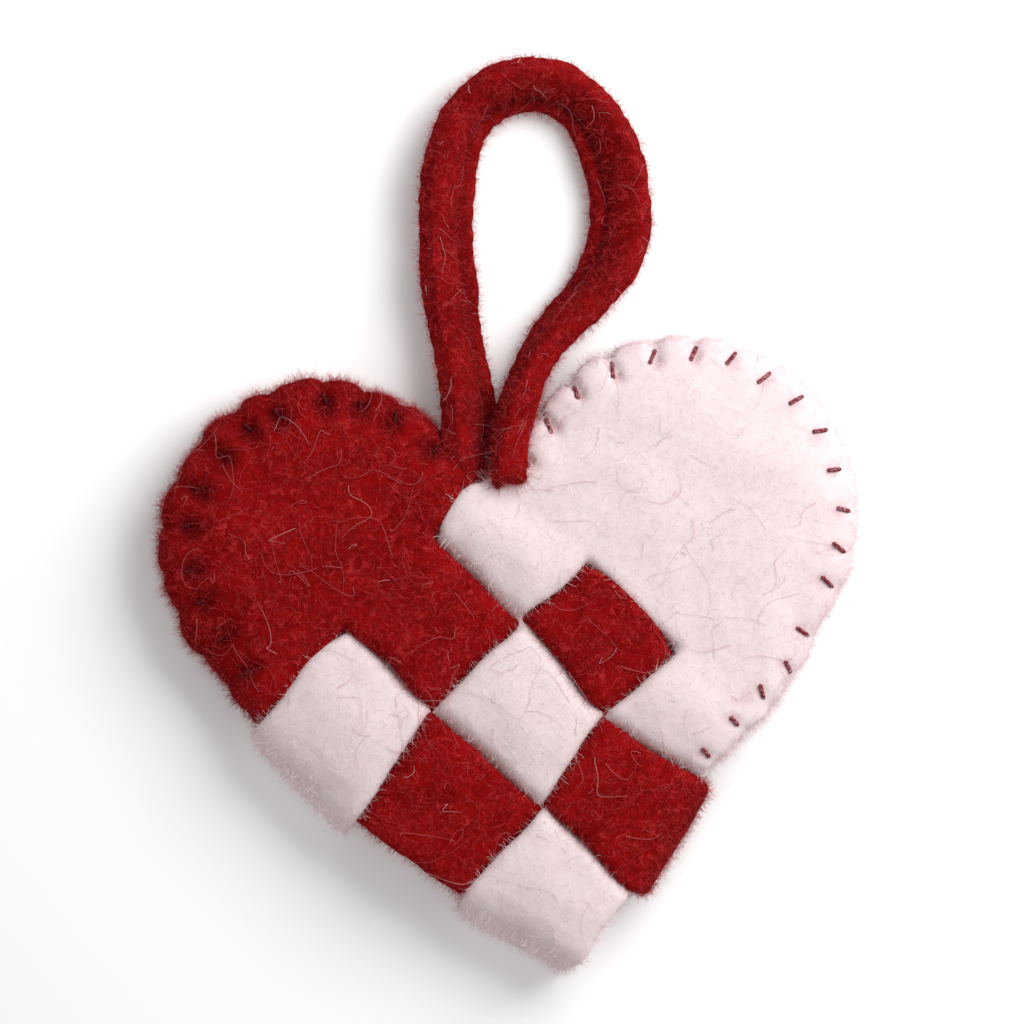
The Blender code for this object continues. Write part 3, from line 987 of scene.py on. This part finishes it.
@dataclass
class HangingLoop:
    """The felt strap of the hanging loop, with a crease along its inner face."""

    finish: FeltFinish
    width: float = 7.9 * MM
    thickness: float = 3.8 * MM
    station: float = 0.35 * MM
    route_step: float = 3.1 * MM
    roundness: float = 4.2
    crease: float = 1.45 * MM
    crease_reach: float = 0.65 * MM
    crease_place: float = -0.16
    flare: float = 0.26
    ragged: float = 0.55 * MM
    feet: tuple[int, int] = (7, 3)
    flare_reach: float = 8 * MM
    end_share: float = 0.60
    uneven_width: float = 0.03
    uneven_depth: float = 0.05
    closing: float = 1.3 * MM
    ragged_reach: float = 1.6 * MM
    ragged_wave: float = 0.9 * MM
    frayed_reach: float = 2.2 * MM
    seed: int = 5

    def stations(self, spacing: float) -> tuple[np.ndarray, np.ndarray]:
        """Evenly spaced middles of the strap and its lean, on a smooth curve through the route."""
        route = np.array(LOOP_ROUTE, dtype=float)
        route = np.concatenate([[2 * route[0] - route[1]], route, [2 * route[-1] - route[-2]]])
        fine = []
        for index in range(1, len(route) - 2):
            p0, p1, p2, p3 = route[index - 1:index + 3]
            for t in np.arange(0, 1, 1 / 24):
                fine.append(0.5 * (
                    2 * p1 + (p2 - p0) * t + (2 * p0 - 5 * p1 + 4 * p2 - p3) * t ** 2
                    + (3 * p1 - p0 - 3 * p2 + p3) * t ** 3
                ))
        fine = np.array(fine + [route[-2]])
        walked = np.concatenate([[0], np.cumsum(np.linalg.norm(np.diff(fine[:, :3], axis=0), axis=1))]) * MM
        even = np.linspace(0, walked[-1], round(walked[-1] / spacing) + 1)
        rows = np.stack([np.interp(even, walked, fine[:, axis]) for axis in range(4)], axis=1)
        middles = rows[:, :3] * MM + np.array((NOTCH[0], NOTCH[1], 0.0))
        return middles, np.radians(rows[:, 3])

    def outline(self) -> tuple[np.ndarray, np.ndarray]:
        """The strap's section: places along its width and through its thickness."""
        turn = np.linspace(2 * math.pi, 0, 49)[:-1]
        power = 2 / self.roundness
        across = self.width / 2 * np.sign(np.cos(turn)) * np.abs(np.cos(turn)) ** power
        through = self.thickness / 2 * np.sign(np.sin(turn)) * np.abs(np.sin(turn)) ** power
        return across, through

    def creased(self, across: np.ndarray, through: np.ndarray) -> np.ndarray:
        """How deep in the crease each point of the section lies, from 0 to 1."""
        return hump(across - self.crease_place * self.width, self.crease_reach) * (through < 0)

    def rings(self) -> np.ndarray:
        """Rings of the strap, with flared and torn ends."""
        middles, leans = self.stations(self.station)
        first, second = self.feet
        before = middles[0] - np.arange(first, 0, -1)[:, None] * (middles[1] - middles[0])
        beyond = middles[-1] + np.arange(1, second + 1)[:, None] * (middles[-1] - middles[-2])
        middles = np.concatenate([before, middles, beyond])
        leans = np.concatenate([np.full(first, leans[0]), leans, np.full(second, leans[-1])])
        course = np.gradient(middles, axis=0)
        course /= np.linalg.norm(course, axis=1, keepdims=True)
        across, through = self.outline()
        groove = self.crease * self.creased(across, through)
        tear = across / self.ragged_wave + 3 * through / self.thickness
        walked = np.arange(len(middles)) * self.station
        line = np.stack([walked, walked * 0, walked * 0], axis=1)
        sway = Ripple(6 * MM, 18 * MM, 10, self.seed).at(line)
        last = len(middles) - 1
        rings = []
        for index, (middle, forward, lean) in enumerate(zip(middles, course, leans)):
            outwards = np.cross((0, 0, 1), forward)
            outwards /= np.linalg.norm(outwards)
            upwards = np.cross(forward, outwards)
            wide = upwards * math.cos(lean) + outwards * math.sin(lean)
            thin = outwards * math.cos(lean) - upwards * math.sin(lean)
            from_end = min(index, last - index) * self.station
            close = math.sqrt(1 - max(1 - from_end / self.closing, 0.0) ** 2)
            flared = 1 + self.flare * math.exp(-((from_end / self.flare_reach) ** 2))
            shut = (self.end_share + (1 - self.end_share) * close) * flared
            spread = across * shut * (1 + self.uneven_width * sway[index])
            deep = through * shut * (1 + self.uneven_depth * sway[index]) + groove * close
            worn = self.ragged * math.exp(-((from_end / self.ragged_reach) ** 2))
            torn = worn * np.sin(tear + (2.0 if index < last / 2 else 0.4))
            ring = middle + np.outer(spread, wide) + np.outer(deep, thin) + np.outer(torn, forward)
            ring[:, 2] += max(REST_CLEARANCE - ring[:, 2].min(), 0.0)
            rings.append(ring)
        return np.stack(rings)

    def build(self) -> bpy.types.Object:
        """Builds and dresses the strap and attaches it to the body."""
        rings = self.rings()
        shell = Shell()
        shell.loft(rings)
        mesh = shell.mesh("loop_strap")
        strap = new_object("loop_strap", mesh)
        broad = Ripple(3 * MM, 8 * MM, 24, self.seed)
        narrow = Ripple(1.0 * MM, 2.4 * MM, 50, self.seed + 1)
        roughen(mesh, read(mesh, "co"), ((0.07 * MM, broad), (0.08 * MM, narrow)))
        # Painted shade along the crease, kept for the material
        store(mesh, "pit_shade", np.tile(self.creased(*self.outline()), len(rings)))
        count = np.arange(len(rings))
        from_end = np.minimum(count, count[::-1]) * self.station
        store(mesh, "frayed", np.repeat(hump(from_end, self.frayed_reach), rings.shape[1]))
        shade_smooth(mesh)
        mesh.materials.append(self.finish.material())
        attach(strap, BODY)
        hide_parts("hanging_loop")
        path, _ = self.stations(self.route_step)
        return strap


# Where on the felt the search for covering felt starts, and how dense the nap is on the underside
OFF_THE_SKIN = 0.12 * MM
UNDERSIDE_NAP = 0.5


def mark_exposed(pieces: list[bpy.types.Object], cover: float, free: float, crack: float) -> None:
    """Stores how open each vertex lies, for the nap, and how far it faces sideways, for the halo.

    Args:
        pieces: Meshes that cover each other.
        cover: How near a surface has to be to hide another.
        free: How much room in front of it a surface needs to grow a full halo.
        crack: Share of the halo that a surface with less room still grows.
    """
    points, faces = [], []
    for piece in pieces:
        start = len(points)
        points += [vertex.co for vertex in piece.data.vertices]
        faces += [[start + index for index in polygon.vertices] for polygon in piece.data.polygons]
    tree = BVHTree.FromPolygons(points, faces)
    for piece in pieces:
        mesh = piece.data
        facing = read(mesh, "normal")[:, 2]
        values = np.where(facing < -0.5, UNDERSIDE_NAP, 1.0)
        sideways = (1 - np.abs(facing)) ** 0.5 * (np.abs(facing) < 0.8)
        for index, vertex in enumerate(mesh.vertices):
            normal = Vector(vertex.normal)
            _, _, _, distance = tree.ray_cast(vertex.co + normal * OFF_THE_SKIN, normal, free)
            if distance is not None:
                sideways[index] *= crack if distance > cover else 0.0
                if distance < cover:
                    values[index] = 0.0
        store(mesh, "exposed", values)
        store(mesh, "sideways", sideways)


class Where(Enum):
    """The vertex attribute that says where fibres grow."""

    OPEN = "exposed"
    SIDES = "sideways"
    ENDS = "frayed"


@dataclass
class FibreLayer:
    """Wool fibres that grow from a felt surface: a nap that stands, or stray hairs that lie on it."""

    name: str
    slot: str
    finish: FibreFinish
    per_square_mm: float
    length: float
    spread: float
    lift: float
    curl: float
    curl_scale: float
    width: float = 0.040 * MM
    segments: int = 3
    sides: int = 2
    hug: float = 0.0
    curl_detail: float = 2.0
    where: Where = Where.OPEN
    seed: int = 1

    def inputs(self) -> dict[str, float]:
        """Value of each named input of the node tree."""
        return {
            "Density": self.per_square_mm / MM ** 2, "Length": self.length, "Spread": self.spread,
            "Lift": self.lift, "Curl": self.curl, "Curl scale": self.curl_scale, "Width": self.width,
            "Hug": self.hug, "Ground": REST_CLEARANCE, "Seed": self.seed,
        }

    def scattered(self, graph: Graph, given: object) -> bpy.types.NodeSocket:
        """Sets straight strands on the felt, each with its own tint, heading and length.

        Args:
            graph: The tree being built.
            given: The tree's inputs.

        Returns:
            The strands.
        """
        share = graph.geometry(
            "GeometryNodeInputNamedAttribute", {"Name": self.where.value}, data_type="FLOAT"
        )
        density = graph.times(share, given["Density"])
        spots = graph.node("GeometryNodeDistributePointsOnFaces", {
            "Mesh": given["Felt"], "Density": density, "Seed": given["Seed"],
        }).outputs
        tinted = graph.geometry(
            "GeometryNodeStoreNamedAttribute",
            {"Geometry": spots["Points"], "Name": "tint", "Value": graph.random(11)},
            data_type="FLOAT", domain="POINT",
        )
        anywhere = graph.node(
            "FunctionNodeRandomValue", {0: (-1.0, -1.0, -1.0), 1: (1.0, 1.0, 1.0), 8: 23},
            data_type="FLOAT_VECTOR",
        ).outputs[0]
        heading = graph.vector("ADD", graph.scaled(spots["Normal"], given["Lift"]), anywhere)
        turned = graph.node("FunctionNodeAlignRotationToVector", {"Vector": heading}, axis="Z").outputs[0]
        size = graph.random(31, graph.rest(given["Spread"]), graph.math("ADD", 1.0, given["Spread"]))
        line = graph.geometry("GeometryNodeCurvePrimitiveLine", {"Start": (0, 0, 0), "End": (0, 0, 1)})
        line = graph.geometry("GeometryNodeResampleCurve", {"Curve": line, "Count": self.segments + 1})
        strands = graph.geometry("GeometryNodeInstanceOnPoints", {
            "Points": tinted, "Instance": line, "Rotation": turned,
            "Scale": graph.times(size, given["Length"]),
        })
        return graph.geometry("GeometryNodeRealizeInstances", {"Geometry": strands})

    def laid_on(self, graph: Graph, strands: object, given: object, place: object) -> bpy.types.NodeSocket:
        """Lays the strands on the felt, a little over it.

        Args:
            graph: The tree being built.
            strands: The curves.
            given: The tree's inputs.
            place: Place of each point.

        Returns:
            The laid curves.
        """
        felt = given["Felt"]
        nearest = graph.geometry("GeometryNodeProximity", {"Geometry": felt}, target_element="FACES")
        facing = graph.geometry(
            "GeometryNodeSampleNearestSurface",
            {"Mesh": felt, "Value": graph.geometry("GeometryNodeInputNormal")}, data_type="FLOAT_VECTOR",
        )
        wave = graph.noise(place, 260.0, 1.0).outputs[0]
        arch = graph.times(graph.math("ADD", 0.25, graph.times(wave, 1.5)), given["Hug"])
        over = graph.vector("ADD", nearest, graph.scaled(facing, arch))
        laid = graph.geometry("GeometryNodeSetPosition", {"Geometry": strands, "Position": over})
        eased = graph.geometry(
            "GeometryNodeBlurAttribute", {"Value": place, "Iterations": 3}, data_type="FLOAT_VECTOR"
        )
        return graph.geometry("GeometryNodeSetPosition", {"Geometry": laid, "Position": eased})

    def tree(self) -> tuple[Graph, dict[str, str]]:
        """Builds the node tree.

        Returns:
            The tree's graph and the identifier of each named input.
        """
        graph, named = geometry_tree(self.name, "Felt", tuple(self.inputs()), "Fibres")
        given = graph.node("NodeGroupInput").outputs
        place = graph.geometry("GeometryNodeInputPosition")
        share = graph.node("GeometryNodeSplineParameter").outputs["Factor"]
        own = graph.geometry("GeometryNodeInputNamedAttribute", {"Name": "tint"}, data_type="FLOAT")
        apart = graph.node("ShaderNodeCombineXYZ", {0: graph.times(own, 0.9), 2: own}).outputs[0]
        drift = graph.drift(graph.vector("ADD", place, apart), given["Curl scale"], self.curl_detail)
        offset = graph.scaled(drift, graph.times(share, given["Curl"]))
        strands = self.scattered(graph, given)
        strands = graph.geometry("GeometryNodeSetPosition", {"Geometry": strands, "Offset": offset})
        if self.hug:
            strands = self.laid_on(graph, strands, given, place)
        x, y, z = graph.node("ShaderNodeSeparateXYZ", {0: place}).outputs
        above = graph.math("MAXIMUM", z, given["Ground"])
        clear = graph.node("ShaderNodeCombineXYZ", {0: x, 1: y, 2: above}).outputs[0]
        strands = graph.geometry("GeometryNodeSetPosition", {"Geometry": strands, "Position": clear})
        slim = graph.times(given["Width"], graph.rest(graph.times(share, 0.6)))
        strands = graph.geometry("GeometryNodeSetCurveRadius", {"Curve": strands, "Radius": slim})
        strands = graph.geometry(
            "GeometryNodeSetCurveTilt", {"Curve": strands, "Tilt": graph.times(own, 40.0)}
        )
        if self.sides == 2:
            section = graph.geometry(
                "GeometryNodeCurvePrimitiveLine", {"Start": (-0.5, 0, 0), "End": (0.5, 0, 0)}
            )
        else:
            section = graph.geometry(
                "GeometryNodeCurvePrimitiveCircle", {"Resolution": self.sides, "Radius": 0.5}
            )
        sweep = graph.node("GeometryNodeCurveToMesh", {"Curve": strands, "Profile Curve": section})
        if "Scale" in sweep.inputs:
            graph.tree.links.new(slim, sweep.inputs["Scale"])
        graph.finished(sweep.outputs[0], self.finish.material())
        return graph, named

    def build(self, surface: bpy.types.Object) -> bpy.types.Object:
        """Grows the fibres from a surface and attaches them to the body."""
        carrier = new_object(self.name + "_carrier", surface.data.copy())
        fibres = grown(carrier, *self.tree(), self.inputs(), self.name)
        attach(fibres, BODY)
        self.slot
        return fibres


@dataclass
class OvercastThread:
    """The thread of the overcast seam: one loop over the rim for each stitch."""

    name: str
    half: FeltHalf
    finish: ThreadFinish
    twist: float = 4200.0
    lift: float = 0.16 * MM
    sink: float = 0.6 * MM
    hole_depth: float = 1.2 * MM
    above: float = 12 * MM
    off_felt: float = 0.8 * MM
    station: float = 0.32 * MM
    stops: int = 9
    rim_share: float = 0.8
    ply_depth: float = 0.78
    seed: int = 3

    @property
    def slot(self) -> str:
        """Material slot of the half that the thread is sewn on."""
        return self.half.slot

    def on_plan(self, spot: np.ndarray) -> tuple[float, float]:
        """Place in the CAD frame of a spot given as (across, away from the strips)."""
        placed = self.half.place(np.array([-spot[1]]), np.array([spot[0]]), np.zeros(1))[0]
        return placed[0], placed[1]

    def routes(self, surface: bpy.types.Object) -> list[list[Vector]]:
        """Follows each stitch from its hole on the front over the rim to its hole at the back."""
        seam = self.half.seam
        outline, inward, walked = self.half.rim()
        mesh = surface.data
        tree = BVHTree.FromPolygons(
            [vertex.co for vertex in mesh.vertices], [polygon.vertices for polygon in mesh.polygons]
        )
        draw = np.random.default_rng(self.seed)
        routes = []
        for walk, centre in seam.stitches:
            row = min(int(np.searchsorted(walked, walk * MM)), len(walked) - 1)
            course = np.array((-inward[row][1], inward[row][0]))
            lean = seam.slant * draw.uniform(0.6, 1.4)
            innermost = centre * MM + seam.length * draw.uniform(0.4, 0.6)
            drawn = seam.drawn_in * float(seam.tightness(walked[row]))
            columns = []
            for side in (1, -1):
                column = []
                for share in np.linspace(0, 1, self.stops):
                    inset = innermost + (drawn * self.rim_share + self.sink - innermost) * share
                    hidden = inset < innermost - seam.length
                    spot = outline[row] + inward[row] * inset - course * lean * (1 - share) * side
                    x, y = self.on_plan(spot)
                    far = Vector((x, y, NOTCH[2] + side * self.above))
                    hit = tree.ray_cast(far, Vector((0, 0, -side)), self.above)[0]
                    level = hit.z if hit is not None else NOTCH[2] + side * self.off_felt
                    over = -self.hole_depth if share == 0 else (-self.sink if hidden else self.lift)
                    raised = max(level + side * over, seam.thread_radius + 5 * REST_CLEARANCE)
                    column.append(Vector((x, y, raised)))
                columns.append(column)
            front, back = columns
            x, y = self.on_plan(outline[row] + inward[row] * (drawn * 0.6 + self.sink * 1.6))
            routes.append(front + [Vector((x, y, NOTCH[2]))] + back[::-1])
        return routes

    def tree(self) -> tuple[Graph, dict[str, str]]:
        """Builds the node tree that spins a three-ply thread along each route."""
        graph, named = geometry_tree(self.name, "Routes", ("Thread radius", "Twist"), "Thread")
        given = graph.node("NodeGroupInput").outputs
        radius = given["Thread radius"]
        smooth = graph.geometry(
            "GeometryNodeCurveSplineType", {"Curve": given["Routes"]}, spline_type="CATMULL_ROM"
        )
        even = graph.geometry(
            "GeometryNodeResampleCurve", {"Curve": smooth, "Length": self.station}, mode="LENGTH"
        )
        walked = graph.node("GeometryNodeSplineParameter").outputs["Length"]
        turned = graph.geometry(
            "GeometryNodeSetCurveTilt", {"Curve": even, "Tilt": graph.times(walked, given["Twist"])}
        )
        ply = graph.geometry("GeometryNodeCurveStar", {
            "Points": 3, "Inner Radius": graph.times(radius, self.ply_depth), "Outer Radius": radius,
        })
        ply = graph.geometry("GeometryNodeSubdivideCurve", {"Curve": ply, "Cuts": 1})
        sweep = graph.geometry(
            "GeometryNodeCurveToMesh", {"Curve": turned, "Profile Curve": ply, "Fill Caps": True}
        )
        graph.finished(sweep, self.finish.material())
        return graph, named

    def build(self, surface: bpy.types.Object) -> bpy.types.Object:
        """Sews the seam on a finished half and attaches the thread to the body."""
        data = bpy.data.curves.new(self.name, "CURVE")
        data.dimensions = "3D"
        for route in self.routes(surface):
            spline = data.splines.new("POLY")
            spline.points.add(len(route) - 1)
            for point, place in zip(spline.points, route):
                point.co = (*place, 1.0)
        carrier = new_object(self.name + "_carrier", data)
        values = {"Thread radius": self.half.seam.thread_radius, "Twist": self.twist}
        thread = grown(carrier, *self.tree(), values, self.name)
        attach(thread, BODY)
        self.half.slot
        return thread


@dataclass
class Studio:
    """Camera over the heart, pale floor and soft light from the upper right."""

    aim: tuple[float, float] = (NOTCH[0] + 3.94 * MM, NOTCH[1] - 5.70 * MM)
    turn: float = -5.0
    seen_width: float = 133.1 * MM
    distance: float = 1.0
    sensor: float = 36.0
    key_place: tuple[float, float, float] = (0.188, 0.148, 0.224)
    key_power: float = 1.11
    key_size: float = 0.24
    sky: float = 0.42
    floor_glow: float = 0.125

    def camera(self) -> None:
        """Looks straight down, turned as the photograph is."""
        data = bpy.data.cameras.new("camera")
        data.sensor_width = self.sensor
        data.lens = self.sensor * self.distance / self.seen_width
        data.clip_start = 0.05
        data.clip_end = 10.0
        camera = new_object("camera", data)
        camera.location = (*self.aim, NOTCH[2] + self.distance)
        camera.rotation_euler = (0.0, 0.0, math.radians(self.turn))
        bpy.context.scene.camera = camera

    def lamp(self, name: str, place: tuple[float, float, float], size: float, power: float) -> None:
        """A square soft light aimed at the heart."""
        data = bpy.data.lights.new(name, "AREA")
        data.size = size
        data.energy = power
        lamp = new_object(name, data)
        lamp.location = place
        aim = Vector((*self.aim, 0.0)) - Vector(place)
        lamp.rotation_euler = aim.to_track_quat("-Z", "Y").to_euler()

    def floor(self) -> None:
        """A large pale matt floor under the heart."""
        mesh = bpy.data.meshes.new("floor")
        half = 3.0
        corners = [(-half, -half, 0), (half, -half, 0), (half, half, 0), (-half, half, 0)]
        mesh.from_pydata(corners, [], [(0, 1, 2, 3)])
        floor = new_object("floor", mesh)
        floor.location.z = -0.1 * MM
        finish = bpy.data.materials.new("pale floor")
        finish.use_nodes = True
        shader = finish.node_tree.nodes["Principled BSDF"]
        values = {
            "Base Color": WHITE, "Roughness": 1.0, "Specular IOR Level": 0.0,
            "Emission Color": WHITE, "Emission Strength": self.floor_glow,
        }
        for name, value in values.items():
            shader.inputs[name].default_value = value
        mesh.materials.append(finish)

    def build(self) -> None:
        """Sets up everything round the heart."""
        self.camera()
        self.floor()
        self.lamp("key light", self.key_place, self.key_size, self.key_power)
        world = bpy.data.worlds.new("studio")
        world.use_nodes = True
        background = world.node_tree.nodes["Background"]
        background.inputs[0].default_value = WHITE
        background.inputs[1].default_value = self.sky
        bpy.context.scene.world = world
        bpy.context.scene.view_settings.view_transform = "Standard"


# In the felt finishes, edge is painted shade on the low sides (pinkish on the white felt) and pit is
# painted shade in the stitch dimples and the strap's crease
RED_FELT = FeltFinish(
    name="red wool felt", ground=(0.29, 0.0035, 0.004), deep=(0.16, 0.002, 0.0025),
    fibre=(0.53, 0.036, 0.038), second_fibre=(0.10, 0.001, 0.002), edge=(0.12, 0.002, 0.003),
    fibre_share=0.46, second_share=0.40, side_shade_share=0.70, pit_shade_share=0.62,
)
LOOP_FELT = FeltFinish(
    name="red strap felt", ground=(0.25, 0.0035, 0.004), deep=(0.125, 0.002, 0.0025),
    fibre=(0.46, 0.032, 0.036), second_fibre=(0.08, 0.001, 0.002), edge=(0.25, 0.0035, 0.004),
    fibre_share=0.46, second_share=0.45, side_shade_share=0.0, pit_shade_share=0.55,
)
WHITE_FELT = FeltFinish(
    name="off-white wool felt", ground=(0.812, 0.68, 0.682), deep=(0.762, 0.62, 0.628),
    fibre=(0.86, 0.75, 0.75), second_fibre=(0.76, 0.54, 0.56), edge=(0.82, 0.63, 0.68),
    fibre_share=0.30, second_share=0.10, side_shade_share=0.5, relief=0.07 * MM, sheen=0.05,
    pit_shade=(0.60, 0.33, 0.37), pit_shade_share=0.45,
)
RED_NAP = FibreFinish(
    name="red nap", common=(0.305, 0.004, 0.005), lighter=(0.54, 0.048, 0.054),
    rare=(0.64, 0.26, 0.26), lighter_from=0.56, rare_from=0.965,
)
WHITE_NAP = FibreFinish(
    name="white nap", common=(0.845, 0.725, 0.728), lighter=(0.85, 0.68, 0.71),
    rare=(0.68, 0.28, 0.31), lighter_from=0.65, rare_from=0.975,
)
RED_HAIR = FibreFinish(
    name="red stray hair", common=(0.46, 0.04, 0.06), lighter=(0.62, 0.16, 0.18),
    rare=(0.72, 0.42, 0.40), lighter_from=0.45, rare_from=0.90,
)
WHITE_HAIR = FibreFinish(
    name="stray hair on white", common=(0.82, 0.69, 0.69), lighter=(0.70, 0.38, 0.41),
    rare=(0.48, 0.40, 0.40), lighter_from=0.62, rare_from=0.95,
)
SEAM_THREAD = ThreadFinish("dark red thread", ground=(0.18, 0.014, 0.024), fleck=(0.46, 0.19, 0.22))
# The same dark red thread, painted darker as shade where it sinks into the red felt's dimples
SHADED_THREAD = ThreadFinish(
    "dark red thread shaded in red felt", ground=(0.07, 0.0015, 0.003), fleck=(0.15, 0.004, 0.006)
)

WHITE_SEAM = Seam(
    stitches=(
        (5.0, 3.0), (10.3, 2.2), (16.5, 2.1), (22.8, 2.5), (29.0, 2.2), (34.3, 2.1), (39.8, 1.9),
        (45.3, 2.1), (50.8, 2.0), (56.3, 2.1), (62.3, 2.3), (68.1, 2.2), (73.8, 2.0), (79.1, 2.2),
        (85.6, 1.8), (91.1, 1.6), (96.4, 2.0), (101.4, 2.5), (106.9, 2.1),
    ),
    length=1.85 * MM, slant=0.8 * MM, drawn_in=0.95 * MM, puff=0.3 * MM, groove=0.16, dimple=0.12,
    dimple_reach=0.9 * MM, thread_radius=0.34 * MM, eases_at=38 * MM, eased=0.3,
)
RED_SEAM = Seam(
    stitches=(
        (5.8, 2.2), (13.3, 2.4), (18.8, 2.4), (24.1, 2.6), (31.6, 3.0), (36.6, 3.2), (42.6, 3.6),
        (48.9, 3.4), (55.1, 3.6), (61.6, 3.6), (67.1, 3.5), (73.7, 3.4), (78.7, 3.0),
    ),
    length=1.5 * MM, slant=0.5 * MM, drawn_in=0.55 * MM, puff=0.15 * MM, groove=0.08, dimple=0.32,
    dimple_reach=1.8 * MM, thread_radius=0.22 * MM, eases_at=60 * MM, eased=0.7,
)

# Fibres: how many per square millimetre, length, spread of lengths, lift, curl and curls per metre
NAPS = (
    FibreLayer("red_nap", "red_felt", RED_NAP, 4.1, 1.25 * MM, 0.6, 0.6, 2.2 * MM, 620.0, seed=1),
    FibreLayer("red_halo", "red_felt", RED_NAP, 8.1, 0.95 * MM, 0.5, 0.8, 1.5 * MM, 700.0,
               where=Where.SIDES, seed=7),
    FibreLayer("white_nap", "white_felt", WHITE_NAP, 2.1, 1.0 * MM, 0.6, 0.5, 1.9 * MM, 620.0, seed=2),
    FibreLayer("white_halo", "white_felt", WHITE_NAP, 8.1, 1.2 * MM, 0.5, 0.9, 1.7 * MM, 620.0,
               where=Where.SIDES, seed=8),
    FibreLayer("loop_nap", "loop_felt", RED_NAP, 6.6, 1.1 * MM, 0.5, 0.7, 1.9 * MM, 640.0, seed=3),
    FibreLayer("loop_halo", "loop_felt", RED_NAP, 7.0, 0.85 * MM, 0.5, 0.8, 1.5 * MM, 700.0,
               where=Where.SIDES, seed=9),
    FibreLayer("loop_frayed_ends", "loop_felt", RED_NAP, 9.0, 1.5 * MM, 0.5, 0.5, 2.4 * MM, 520.0,
               where=Where.ENDS, seed=10),
)
ROUND_HAIR = {"segments": 20, "sides": 3, "curl_detail": 0.3}
HAIRS = (
    FibreLayer("red_stray_hairs", "red_felt", RED_HAIR, 0.060, 6.0 * MM, 0.6, 0.2, 24.0 * MM, 190.0,
               width=0.072 * MM, hug=0.30 * MM, seed=4, **ROUND_HAIR),
    FibreLayer("white_stray_hairs", "white_felt", WHITE_HAIR, 0.04, 5.5 * MM, 0.6, 0.2, 18.0 * MM, 170.0,
               width=0.062 * MM, hug=0.22 * MM, seed=5, **ROUND_HAIR),
    FibreLayer("loop_stray_hairs", "loop_felt", RED_HAIR, 0.07, 4.6 * MM, 0.5, 0.2, 9.0 * MM, 200.0,
               width=0.075 * MM, hug=0.30 * MM, seed=6, **ROUND_HAIR),
)

# How near felt hides felt, how much room a full halo needs, and how much of it grows in a crack
COVER, FREE, CRACK = 0.7 * MM, 4 * MM, 0.8


def main() -> None:
    """Builds the heart piece by piece and reports each one."""
    logging.basicConfig(level=logging.INFO, format="%(name)s: %(message)s")
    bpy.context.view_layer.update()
    Studio().build()
    red_edges, white_edges = boundaries(RED_STRIP_WIDTHS), boundaries(WHITE_STRIP_WIDTHS)
    red = FeltHalf(
        name="red_felt_half", node="red_half", slot="red_felt", side=Side.RED,
        own_edges=red_edges, other_edges=white_edges, outside=RED_OUTSIDE,
        lobe=LobeShape(9.1 * MM, 21.3 * MM, 1.5 * MM, 0.8 * MM), seam=RED_SEAM, finish=RED_FELT, seed=11,
    )
    white = FeltHalf(
        name="white_felt_half", node="white_half", slot="white_felt", side=Side.WHITE,
        own_edges=white_edges, other_edges=red_edges, outside=WHITE_OUTSIDE,
        lobe=LobeShape(12.8 * MM, 22.8 * MM, 0.4 * MM, 1.1 * MM), seam=WHITE_SEAM, finish=WHITE_FELT,
        sewn_run=11.0 * MM, ripple=0.02 * MM, free_edge_rounding=1.9 * MM, seed=12,
    )
    strap, red_half, white_half = built = [HangingLoop(LOOP_FELT).build(), red.build(), white.build()]
    mark_exposed(built, COVER, FREE, CRACK)
    surfaces = {"loop_felt": strap, "red_felt": red_half, "white_felt": white_half}
    threads = (
        OvercastThread("white_seam_thread", white, SEAM_THREAD),
        OvercastThread("red_seam_thread", red, SHADED_THREAD, seed=4),
    )
    for layer in (*threads, *NAPS, *HAIRS):
        built.append(layer.build(surfaces[layer.slot]))
    for piece in built:
        triangles = sum(len(polygon.vertices) - 2 for polygon in piece.data.polygons)
        LOG.info("%s: %d triangles", piece.name, triangles)


if __name__ == "__main__":
    main()
